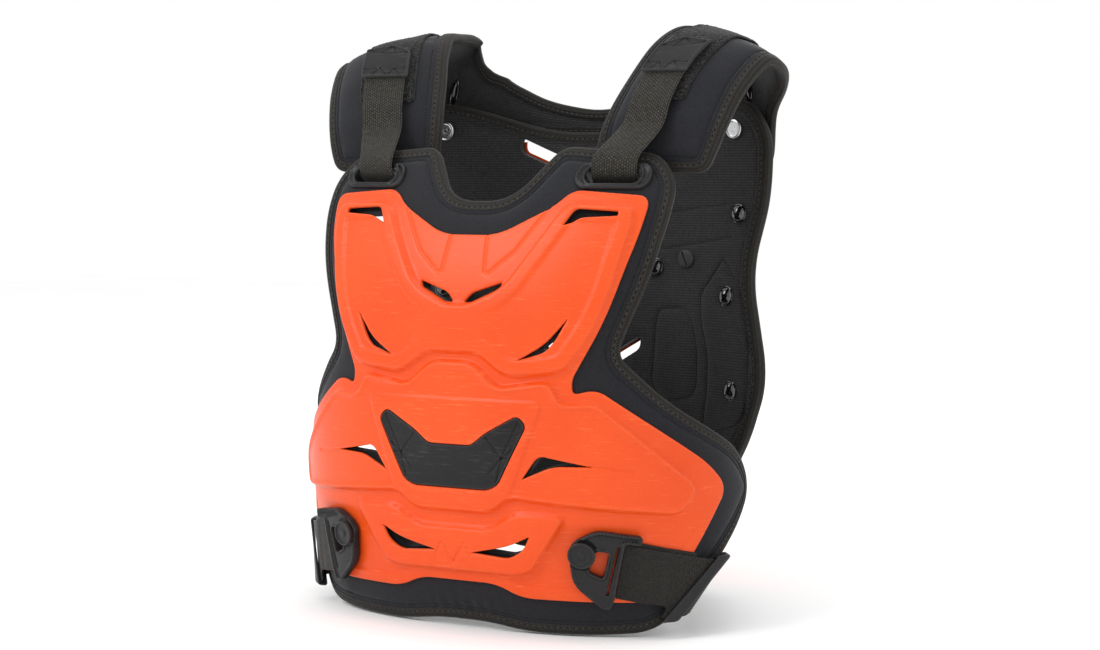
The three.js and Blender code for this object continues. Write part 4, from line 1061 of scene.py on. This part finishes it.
grommet = formed(
    "left_grommet_ring", [grommet_outline.ring(), grommet_slot.ring()], grommet_heights, on_front, 1.6,
    grommet_outline.rings(0.4, 1.0, 1.9, 2.6, 3.4) + grommet_slot.rings(-0.3, -0.8, -1.5, -2.2, -3.0),
    grommet_slot.rings(-1.85, -1.95), (fitting_black,), 50,
)
paired(grommet, "black_fitting", "left_grommet")

# Shoulder webbing
# Flat 38 mm polyester webbing: out of the grommet's slot, up over the loop patch, with its tail
# behind the pad. Each end is cut hot and the selvedges are a little thicker than the middle.
# Its pale tint is a painted highlight on the thread tops, and its gaps get painted shade.
webbing_cloth = cloth("woven webbing", (0.008, 0.0075, 0.0065), (0.032, 0.029, 0.024), 2.6, 2.0, 0.5, 0.6,
                      rough=(0.5, 0.75), sheen=0.05, glint_tint=(0.115, 0.105, 0.085), glint_amount=0.9)
WEB_WIDE, WEB_THICK = 38.0, 1.8
web_tail = -PAD_THICK - SEAT_GAP - WEB_THICK
flange_face = SEAT_GAP + 3.2
# Through the slot: up and lift as shares of the webbing's width, from a depth in mm
slot_run = [(-0.526, web_tail, 0), (-0.21, web_tail, 0), (-0.04, web_tail, 0.08), (0, -PAD_THICK / 2, 0),
            (0.04, 0, 0.026), (0.132, flange_face, 0.066), (0.289, flange_face, 0.132)]
web_rows = []
for up, depth, lift in slot_run:
    place = (GROMMET_UP + up * WEB_WIDE, depth + lift * WEB_WIDE)
    web_rows.append((*(on_front(GROMMET_AT + side * WEB_WIDE, *place) for side in (0.5, -0.5)), 0))
web_end = yoke.stations[-5] + 0.21 * WEB_WIDE
web_out = PATCH_LIFT + SEAT_GAP + 2 + WEB_THICK / 2 + 0.6
for part in (0.3, 0.45, 0.6, 0.75, 0.88, 1):
    along = yoke.length + (web_end - yoke.length) * part
    lift = web_out + (1 - part) * 5
    web_rows.append((*(yoke.point(along, PATCH_MIDDLE + side * WEB_WIDE, lift) for side in (0.5, -0.5)), 0))
web = Strip(web_rows)


def band(name, surface, length, width, thick, pitch, finish, columns=20, slack=None):
    """A flat band: two faces with soft selvedges, laid along its surface."""
    along = np.linspace(0, length, int(length / pitch) + 1)
    even = np.linspace(-1, 1, columns + 1)
    across = 0.35 * np.sin(even * math.pi / 2) + 0.65 * even
    edge = 1 - np.abs(across)
    half = thick / 2 * np.interp(edge, [0, 0.015, 0.06, 0.12, 1], [0.35, 0.85, 1.0, 0.86, 0.86])
    loop = np.concatenate([np.stack([across, half], 1), np.stack([across[::-1], -half[::-1]], 1)])
    x, y = np.meshgrid(along, loop[:, 0] * width / 2, indexing="ij")
    out = np.tile(loop[:, 1], (len(along), 1))
    if slack is not None:
        out = out + slack(x, y)
    points = surface(x.ravel(), y.ravel(), out.ravel())
    around = len(loop)
    index = np.arange(len(along) * around).reshape(len(along), around)
    a, b = index[:-1], index[1:]
    faces = np.stack([a, b, np.roll(b, -1, 1), np.roll(a, -1, 1)], -1).reshape(-1, 4).tolist()
    faces += [index[0].tolist(), index[-1][::-1].tolist()]
    return new_piece(name, points, faces, np.stack([x.ravel(), y.ravel()], 1), (finish,), sharp=60)


webbing = band("left_webbing", web.point, web.length, WEB_WIDE, WEB_THICK, 1.6, webbing_cloth)
for side, piece in paired(webbing, "webbing", "left_shoulder_strap"):
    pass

# Strap tabs
# A moulded rubber end on the webbing, with a raised rim, a peaked top and triangular facet lines
# at its two ends. Its middle is bare.
TAB = (42.0, 44.0)
TAB_THICK = 3.0
tab_end = web.length - 0.9
tab_rows = [(-1, 0.5, 3), (-0.25, 0.5, 2), (0, 0.1, 2), (-0.15, -0.5, 2), (-1, -0.5, 3)]
tab_lines = [
    [(-0.24, 0.48), (-0.3, 0.18), (-0.06, 0.1)], [(-0.3, 0.18), (-0.26, -0.16), (-0.05, 0.06)],
    [(-0.26, -0.16), (-0.16, -0.46)],
    [(-0.98, 0.34), (-0.78, 0.2), (-0.98, 0.05), (-0.76, -0.12), (-0.98, -0.3)],
    [(-0.78, 0.2), (-0.76, 0.47)], [(-0.76, -0.12), (-0.8, -0.46)],
]


def on_tab(row):
    return (tab_end + row[0] * TAB[0], row[1] * TAB[1], *row[2:])


tab_outline = Outline([on_tab(row) for row in tab_rows], 1.5)
tab_grooves = [np.array([on_tab(row) for row in line]) for line in tab_lines]
tab_face = WEB_THICK / 2 + 0.45
tab = formed(
    "left_tab", [tab_outline.ring()],
    grooved_plate(tab_face, TAB_THICK, tab_outline, tab_grooves, 1.0, 2.1), web.point, 1.8,
    tab_outline.rings(0.2, 0.7, 1.5, 2.3) + groove_points(tab_grooves),
    finishes=(rubber,),
)
paired(tab, "badge_rubber", "left_strap_tab")

# Back pad
# The same foam, cover and lining as the front. Its lining shows: embossed pads pressed into the
# knit, seams across the shoulders, and slanted slots that go on through the back shell.
back_rows = [
    (0.2, 0.93, 28), (0.6, 0.983, 22), (0.8, 1.0, 26), (0.93, 0.922, 22), (0.92, 0.8, 34), (0.835, 0.63, 30),
    (1.01, 0.42, 28), (0.88, 0.29, 30), (0.78, 0.22, 30), (0.5, 0.03, 26), (0.4, 0, 20),
]
back_outline = Outline(both_halves(back_rows, *BACK))
# Each slot's inner and outer end, its height at both and its width, as shares
slot_rows = [(0.09, 0.37, 0.847, 0.903, 0.034), (0.14, 0.28, 0.57, 0.6, 0.022),
             (0.12, 0.27, 0.433, 0.476, 0.029)]
back_slots = []
for inner, outer, low, high, tall in slot_rows:
    corners = [(inner, low - tall / 2), (outer, high - tall / 2), (outer, high + tall / 2),
               (inner, low + tall / 2)]
    rows = [(across, up, 0.45 * tall * BACK_HIGH) for across, up in corners]
    back_slots += [Outline(table(rows, *BACK, side), 1.5) for side in (1, -1)]
# Embossed pads and seams of the lining, as shares of the back's half girth and height
lumbar_rows = [
    (0.365, 0.547, 10), (0.502, 0.552, 12), (0.551, 0.519, 12), (0.585, 0.453, 16), (0.576, 0.386, 12),
    (0.545, 0.365, 8), (0.411, 0.352, 10), (0.33, 0.385, 14), (0.345, 0.447, 14), (0.35, 0.515, 10),
]
flank_rows = [
    (0.701, 0.66, 4), (0.762, 0.623, 10), (0.824, 0.579, 14), (0.881, 0.515, 16), (0.915, 0.426, 20),
    (0.86, 0.32, 16), (0.604, 0.285, 12), (0.622, 0.331, 14), (0.644, 0.394, 16), (0.64, 0.466, 16),
    (0.597, 0.52, 16), (0.582, 0.581, 14), (0.64, 0.616, 14),
]
seam_rows = [[(-0.698, 0.774), (-0.386, 0.755), (0, 0.75), (0.386, 0.755), (0.698, 0.774)],
             [(-0.736, 0.703), (-0.406, 0.678), (0, 0.672), (0.406, 0.678), (0.736, 0.703)]]
pressed_pads = [Outline(table(rows, *BACK, side))
                for rows in (lumbar_rows, flank_rows) for side in (1, -1)]
seams = [np.array([(across * BACK_GIRTH, BACK_LIFT + up * BACK_HIGH) for across, up in rows])
         for rows in seam_rows]
back_edge = back_outline.ring()


def back_heights(points):
    edge = distance(points, back_edge)
    dips = np.zeros(len(points))
    for slot in back_slots:
        dips = np.maximum(dips, 1.4 * np.exp(-distance(points, slot.ring()) / 2.2))
    inner = 0.9 * pillow(edge) + dips
    for pad in pressed_pads:
        deep = depth_in(points, pad.ring())
        inner += 1.7 * bell(deep, 1.5) - 1.1 * smooth(deep / 9)
    for seam in seams:
        inner += 1.3 * bell(off_line(points, seam), 1.3)
    return 0.35 - pillow(edge) - dips, -PAD_THICK + 0.2 + inner


back_points = welt_points(back_edge, 3)
for pad in pressed_pads:
    back_points += on_levels(depth_in, pad.ring(), (-2.6, -1.2, 0, 1.2, 2.6, 5), 4, 2)
for seam in seams:
    back_points += on_levels(off_line, seam, (0.4, 1.3, 2.6), 4, 1.8)
back_pad = formed(
    "back_pad_cover", [back_outline.ring(COVER_IN), *(slot.ring() for slot in back_slots)],
    back_heights, on_back, 4.0, back_points, finishes=(neoprene, knit, foam),
)
fitted(back_pad, "pad_cover", "back_pad")
edge_tape("back_pad", back_outline, on_back, PAD_THICK, "back_binding")

# Back shell
# A plain moulded sheet of the same orange plastic on the outside of the back, hollow behind its
# raised spine, with the pad's slots cut through and a rolled rim.
back_shell_rows = [(0.62, 0.909, 18), (0.8, 0.78, 30), (0.72, 0.617, 30), (0.8, 0.42, 30), (0.68, 0.26, 30),
                   (0.46, 0.11, 20), (0.36, 0.07, 14)]
back_shell_outline = Outline(both_halves(back_shell_rows, *BACK), 2.0)
spine_outline = Outline(both_halves([(0.5, 0.82, 10), (0.5, 0.16, 10)], 46, BACK_HIGH, BACK_LIFT), 2.0)
back_shell_edge = back_shell_outline.ring()
spine_edge = spine_outline.ring()
SPINE_STEP = (-4.5, -3.6, -0.4, 0.5)
BACK_GROOVE = (7, 8, 10, 11)
SLOT_RIM = 1.6


def back_shell_heights(points):
    edge = distance(points, back_shell_edge)
    level = SHELL_FACE + np.interp(depth_in(points, spine_edge), SPINE_STEP, [0, 0.35, 3.65, 4.0])
    low = np.maximum(level - SHELL_WALL, SEAT_GAP)
    level -= np.interp(edge, BACK_GROOVE, [0, 0.1, 1.0, 1.1]) * (level < SHELL_FACE + 0.01)
    for slot in back_slots:
        edge = np.minimum(edge, distance(points, slot.ring(SLOT_RIM)))
    return level - rounded(edge, SHELL_ROUND), low


back_shell = formed(
    "back_shell_moulding", [back_shell_edge, *(slot.ring(SLOT_RIM) for slot in back_slots)],
    back_shell_heights, on_back, 3.5,
    back_shell_outline.rings(0.25, 0.6, SHELL_ROUND, *BACK_GROOVE)
    + [slot.ring(SLOT_RIM - inset) for slot in back_slots for inset in (0.25, 0.6, SHELL_ROUND)]
    + on_levels(depth_in, spine_edge, SPINE_STEP, 6, 2),
    finishes=(orange,), sharp=50,
)
fitted(back_shell, "shell", "back_shell")

# Waist buckles and studs
# A glass-filled black hook buckle on each side: it drops over a round stud on the shell, with a
# window, a grip-ribbed top edge and a slit beside the bar that holds the elastic.
BUCKLE = 46.0
BUCKLE_LOW = SHELL_FACE + SEAT_GAP
BUCKLE_THICK = 7
BUCKLE_ROUND = 0.9
STUD_AT = (0.464 * SHELL_GIRTH, SHELL_LIFT + 0.127 * SHELL_HIGH)
TILT = math.radians(-13)


def tilted(along, across):
    return (STUD_AT[0] + along * math.cos(TILT) - across * math.sin(TILT),
            STUD_AT[1] + along * math.sin(TILT) + across * math.cos(TILT))


# Along the pull and across it, as shares of the buckle's length, with the rounding in mm
hook_rows = [
    (-0.24, 0.04, 7), (-0.16, 0.2, 6), (0.15, 0.46, 7), (0.93, 0.52, 3), (0.93, 0.36, 2), (0.66, 0.34, 3),
    (0.66, -0.68, 3), (0.62, -0.86, 4), (0.48, -0.86, 4), (-0.05, -0.56, 9),
]
window_rows = [(0.22, 0.12, 3), (0.44, 0.14, 3), (0.42, -0.34, 3), (0.16, -0.28, 3)]
slit_rows = [(0.545, 0.26, 0.8), (0.58, 0.26, 0.8), (0.555, -0.62, 0.8), (0.515, -0.62, 0.8)]
hook, window, slit = (
    Outline([(*tilted(along * BUCKLE, across * BUCKLE), turn) for along, across, turn in rows], 1.5)
    for rows in (hook_rows, window_rows, slit_rows)
)


def hook_heights(points):
    edge = distance(points, hook.ring())
    hole = distance(points, window.ring())
    sunk = np.interp(edge, [2.0, 2.9], [0, 1]) * np.interp(hole, [1.6, 2.4], [0, 1])
    level = BUCKLE_LOW + BUCKLE_THICK - 1.5 * sunk
    local = points - STUD_AT
    along = local[:, 0] * math.cos(TILT) + local[:, 1] * math.sin(TILT)
    across = -local[:, 0] * math.sin(TILT) + local[:, 1] * math.cos(TILT)
    grip = smooth((across - 0.3 * BUCKLE) / 2) * smooth((along - 0.12 * BUCKLE) / 3)
    level -= 0.9 * grip * (0.5 + 0.5 * np.cos(along * 2 * math.pi / 2.4))
    stud_room = np.hypot(local[:, 0], local[:, 1])
    level -= 1.2 * np.interp(stud_room, [11.5, 12.5], [1, 0])
    near = np.minimum(np.minimum(edge, hole), distance(points, slit.ring()))
    return level - rounded(near, BUCKLE_ROUND), BUCKLE_LOW


buckle = formed(
    "left_hook_buckle", [hook.ring(), window.ring(), slit.ring()], hook_heights, on_front, 0.85,
    hook.rings(0.2, 0.9, 2.0, 2.9)
    + window.rings(-0.2, -0.9, -1.6, -2.4),
    finishes=(fitting_black,), sharp=50,
)
paired(buckle, "black_fitting", "left_buckle")


def turned(profile, sides=40):
    """A round form from its profile of radius and height, closed below."""
    points, faces = [], []
    angles = [2 * math.pi * i / sides for i in range(sides)]
    for radius, height in profile:
        points += [(radius * math.cos(angle), radius * math.sin(angle), height) for angle in angles]
    for ring in range(len(profile) - 1):
        for i in range(sides):
            a, b = ring * sides + i, ring * sides + (i + 1) % sides
            faces.append([a, b, b + sides, a + sides])
    points.append((0, 0, profile[-1][1]))
    top = (len(profile) - 1) * sides
    faces += [[top + i, top + (i + 1) % sides, len(points) - 1] for i in range(sides)]
    faces.append(list(range(sides))[::-1])
    return points, faces


stud_profile = [
    (9.9, 0), (10.4, 0.3), (10.5, 1.4), (10.3, 2.5), (9.7, 3.0), (8.9, 3.0), (8.4, 2.6), (8.2, 2.0),
    (7.6, 1.8), (3.4, 1.8), (3.1, 2.2), (2.6, 2.4), (0.6, 2.4),
]
stud_spot = (*STUD_AT, 0, BUCKLE_LOW + BUCKLE_THICK + 0.45)
stud = stamped("left_stud", *turned(stud_profile), [stud_spot], on_front, fitting_black, 40)
paired(stud, "black_fitting", "left_buckle_stud")

# Waist elastic
# A 45 mm woven elastic from each buckle's bar, over the edge of the wing and round to the side
# of the back, where it is riveted. It is ribbed along its length, folds softly at the pads and
# is doubled at its front end, where a second layer shows above it.
# Its pale tint is a painted highlight on the thread tops, and its gaps get painted shade.
elastic_cloth = cloth("woven elastic", (0.0085, 0.008, 0.007), (0.028, 0.026, 0.023), 1.6, 1.5, 0.5, 0.4,
                      rough=(0.5, 0.75), sheen=0.08, glint_tint=(0.07, 0.064, 0.054), glint_amount=0.7)
ELASTIC, ELASTIC_THICK = 45.0, 2.0
elastic_out = BUCKLE_LOW + 1
bar_along = 0.66 * BUCKLE + 0.8
fold_up = STUD_AT[1] - 0.689 * ELASTIC
# How far each fold stands past the pad's side, from a depth in mm, and out, as shares of the width
front_folds = [(-0.422, elastic_out, 0.033), (-0.089, elastic_out, 0.027), (0.133, 0, -0.044),
               (0.156, -PAD_THICK, 0)]
back_folds = [(0.111, -PAD_THICK, 0.067), (0.067, 0, 0.067), (-0.311, SHELL_FACE, 0.067),
              (-0.756, SHELL_FACE, 0.056)]


def side_at(rows, girth, height, base, up):
    shares = [(row[1], row[0]) for row in rows][::-1]
    return girth * np.interp((up - base) / height, [s[0] for s in shares], [s[1] for s in shares])


elastic_rows = []
for reach in (0, 0.444, 0.889):
    along = bar_along + reach * ELASTIC
    ends = [tilted(along, -0.17 * BUCKLE + side * ELASTIC / 2) for side in (-1, 1)]
    elastic_rows.append((*(on_front(x, y, elastic_out) for x, y in ends), 0))
for past, depth, out in front_folds:
    low, high = fold_up - ELASTIC / 2, fold_up + ELASTIC / 2
    places = [side_at(pad_rows[8:12], PAD_GIRTH, PAD_HIGH, 0, up) + past * ELASTIC for up in (low, high)]
    places[0] += 0.133 * ELASTIC
    elastic_rows.append((on_front(places[0], low, depth + out * ELASTIC),
                         on_front(places[1], high, depth + out * ELASTIC), 0))
for past, depth, out in back_folds:
    low, high = (fold_up + (0.356 + side * 0.5) * ELASTIC for side in (-1, 1))
    places = [side_at(back_rows[6:10], *BACK, up) + past * ELASTIC for up in (low, high)]
    elastic_rows.append((on_back(-places[0], low, depth + out * ELASTIC),
                         on_back(-places[1], high, depth + out * ELASTIC), 0))
waist = Strip(elastic_rows)


def on_waist(along, across, out):
    return waist.point(along, across * waist.width(along) / ELASTIC, out)


def soft_wave(along, across):
    fold = 1.5 * bell(along - 33 + 0.12 * across, 5)
    ripple = 0.3 * np.sin(along / 9.0 + across / 30.0)
    return (fold + ripple) * smooth((along - 12) / 14) * smooth((75 - along) / 15)


elastic = band("left_elastic", on_waist, waist.length, ELASTIC, ELASTIC_THICK, 1.8, elastic_cloth, 22,
               soft_wave)
for side, piece in paired(elastic, "elastic", "left_waist_strap"):
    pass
RETURN_WIDE, RETURN_THICK = 40.0, 0.7
RETURN_START, RETURN_LONG = 8.0, waist.stations[3] - 16.0
RETURN_ABOVE, RETURN_UNDER = 3.2, 1.46


def on_return(along, across, out):
    raised = across + (ELASTIC - RETURN_WIDE) / 2 + RETURN_ABOVE
    return on_waist(RETURN_START + along, raised, out - RETURN_UNDER)


under = band("left_elastic_return", on_return, RETURN_LONG, RETURN_WIDE, RETURN_THICK, 2.5, elastic_cloth, 12)
for side, piece in paired(under, "elastic"):
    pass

# Sliders
# A flat black moulded sleeve on each elastic near the wing's edge, through which its length is
# set. The elastic runs through it, and its two rims are a little thicker than its walls.
slider_at = (waist.stations[3] + waist.stations[4]) / 2 - 1
SLIDER_LONG, SLIDER_WALL = 12.0, 2.0
slider_half = (ELASTIC / 2 + 0.8 + SLIDER_WALL, ELASTIC_THICK / 2 + 1.04 + SLIDER_WALL)
# Along the sleeve in mm, and how far through its wall as a share
sleeve_rows = [
    (0.5, 1), (0.15, 0.85), (0, 0.5), (0.15, 0.15), (0.6, 0), (6, 0), (11.4, 0), (11.85, 0.15), (12, 0.5),
    (11.85, 0.85), (11.5, 1), (9, 1.12), (6, 1), (3, 1.12),
]
corners = [(x * slider_half[0], y * slider_half[1], 2.2) for x, y in SQUARE]
sleeve = Outline(corners, 3)
rings = []
patterns = []
for along, share in sleeve_rows:
    ring = sleeve.ring((1 - share) * SLIDER_WALL)
    places = np.full(len(ring), slider_at - SLIDER_LONG / 2 + along)
    rings.append(on_waist(places, ring[:, 0], ring[:, 1]))
    patterns.append(np.stack([np.full(len(ring), along), ring[:, 0]], 1))
slider = swept("left_slider_sleeve", rings, np.array(patterns), fitting_black, "black_fitting", "left_slider")
twin(slider, "black_fitting", "left_slider")

# Rivets and screws
# The back shell is held through the pad by glossy black domed caps, a clear cap over a bright
# washer near each shoulder, and a matt slotted screw; all of them show on the lining side.
# Each pale edge colour below is a painted highlight on sharp edges, and also the colour of the scratches.
domed_black = moulded("glossy black cap", (0.003, 0.003, 0.0035), (0.007, 0.007, 0.0075), (0.05, 0.12), 900.0,
                      0.004, (0.05, 0.05, 0.05), 0.1, Coat_Weight=1.0, Coat_Roughness=0.03)
washer_steel = moulded("brushed washer", (0.55, 0.56, 0.57), (0.75, 0.76, 0.77), (0.2, 0.38), 2600.0, 0.03,
                       (0.9, 0.9, 0.9), 0.2, Metallic=1.0, Coat_Weight=0.7, Coat_Roughness=0.05)
matt_black = moulded("matt screw head", (0.01, 0.01, 0.011), (0.024, 0.024, 0.025), (0.5, 0.7), 2600.0, 0.05,
                     (0.1, 0.1, 0.1), 0.5)


def inward(points, faces):
    return [(x, y, -z) for x, y, z in points], [face[::-1] for face in faces]


dome_profile = [
    (8.3, 0), (8.75, 0.25), (8.8, 0.6), (8.4, 0.9), (7.9, 1.1), (7.7, 1.7), (7.0, 2.8), (6.0, 3.7),
    (4.7, 4.5), (3.2, 5.05), (1.6, 5.4), (0.4, 5.5),
]
rivet_profile = [
    (8.0, 0), (8.45, 0.2), (8.5, 0.9), (8.2, 1.5), (7.6, 1.85), (6.7, 1.95), (6.3, 1.6), (5.9, 1.55),
    (2.4, 1.6), (2.1, 1.95), (0.5, 2.0),
]
FACE_IN = -PAD_THICK - SEAT_GAP - 0.18
# Places as shares of the back's half girth and height
fastener_rows = [
    ("dome_rivet_high", 0.775, 0.755), ("dome_rivet_middle", 0.74, 0.579), ("dome_rivet_low", 0.8, 0.387),
    ("dome_rivet_spine", 0.335, 0.637), ("clear_rivet", 0.745, 0.934),
]
caps = [(label, on_back, (-across * BACK_GIRTH, BACK_LIFT + up * BACK_HIGH, 0, FACE_IN))
        for label, across, up in fastener_rows]
YOKE_CAP_AT, YOKE_CAP_SUNK = (576.4, -2.5), 1.96
caps.append(("dome_rivet_yoke", yoke.point, (*YOKE_CAP_AT, 0, YOKE_CAP_SUNK - YOKE_THICK)))
for label, surface, spot in caps:
    profile, finish, slot = dome_profile, domed_black, "black_fitting"
    if label == "clear_rivet":
        profile, finish, slot = rivet_profile, washer_steel, label
    cap = stamped("left_" + label + "_cap", *inward(*turned(profile)), [spot], surface, finish, 35)
    paired(cap, slot, "left_" + label)
SCREW_WIDE, SCREW_TURN = 16, 1.1
SCREW = (-0.5 * BACK_GIRTH, BACK_LIFT + 0.656 * BACK_HIGH)
screw_rim = oval(SCREW_WIDE + 0.01, SCREW_WIDE, *SCREW)
screw_slot = plate(13.0, 1.9, *SCREW, 0.5)
cos, sin = math.cos(SCREW_TURN), math.sin(SCREW_TURN)
turn = np.array([[cos, -sin], [sin, cos]])
slot_line = (screw_slot.ring() - SCREW) @ turn.T + SCREW
slot_edge = (screw_slot.ring(0.25) - SCREW) @ turn.T + SCREW


def screw_heights(points):
    reach = np.hypot(*(points - SCREW).T)
    crown = np.interp(reach, [0, 5, 6.6, 7.6, 8.1], [3.0, 2.95, 2.7, 1.9, 0.9])
    cut = np.interp(depth_in(points, slot_line), [0.02, 0.25], [0, 1.5])
    return FACE_IN, FACE_IN - crown + cut


screw = formed("left_slotted_screw_head", [screw_rim.ring()], screw_heights, on_back, 1.2,
               screw_rim.rings(0.5, 1.4, 3.0), [slot_line, slot_edge], (matt_black,), 35)
paired(screw, "black_fitting", "left_slotted_screw")

# Camera and light
# The view is the photograph's: a long lens from the wearer's left front, a little above the waist.
PHOTO_WIDE, FOCAL_PIXELS = 1100, 2136.8
SENSOR = 36
TILT_DOWN, TURN_LEFT = 4.338, 28
camera = bpy.data.objects.new("camera", bpy.data.cameras.new("camera"))
camera.data.lens = SENSOR * FOCAL_PIXELS / PHOTO_WIDE
camera.data.sensor_width = SENSOR
camera.location = (0.876314, -1.667998, -0.086655)
camera.rotation_euler = (math.radians(90 - TILT_DOWN), 0, math.radians(TURN_LEFT))
bpy.context.scene.collection.objects.link(camera)
bpy.context.scene.camera = camera
bpy.context.scene.view_settings.view_transform = "Standard"


def soft_light(name, place, size, power, aim=(0, 0, -0.2)):
    lamp = bpy.data.lights.new(name, "AREA")
    lamp.shape = "RECTANGLE"
    lamp.size, lamp.size_y = size
    lamp.energy = power
    light = bpy.data.objects.new(name, lamp)
    light.location = place
    light.rotation_euler = (Vector(aim) - Vector(place)).to_track_quat("-Z", "Y").to_euler()
    bpy.context.scene.collection.objects.link(light)


soft_light("key light", (-1.1, -1.9, 1.5), (1.2, 1.2), 27)
soft_light("fill light", (2.2, -1.2, 0.5), (1.4, 1.4), 5)
soft_light("top light", (0.2, 0.3, 2.2), (1.6, 1.6), 12)
soft_light("back light", (-0.6, 2.2, 0.9), (1.6, 1.2), 6)

world = bpy.data.worlds.new("studio")
bpy.context.scene.world = world
world.use_nodes = True
world.node_tree.nodes["Background"].inputs[0].default_value = (1.0, 1.0, 1.0, 1)
world.node_tree.nodes["Background"].inputs[1].default_value = 1.0

FLOOR_REACH, FLOOR_BELOW = 4000, 0.6
floor_up = cad_box[0][2] * 1000 - FLOOR_BELOW
corners = [(x * FLOOR_REACH, y * FLOOR_REACH, floor_up) for x, y in SQUARE]
paper, tree, shader = new_finish("pale paper", Roughness=0.9, Specular_IOR_Level=0.1)
tint = dusted(tree, shader, (0.955, 0.955, 0.955), (0.985, 0.985, 0.98), 3.0, 1.0, (0.85, 0.95))
tree.links.new(tint, shader.inputs["Base Color"])
new_piece("studio_floor", corners, [[0, 1, 2, 3]], finishes=(paper,))
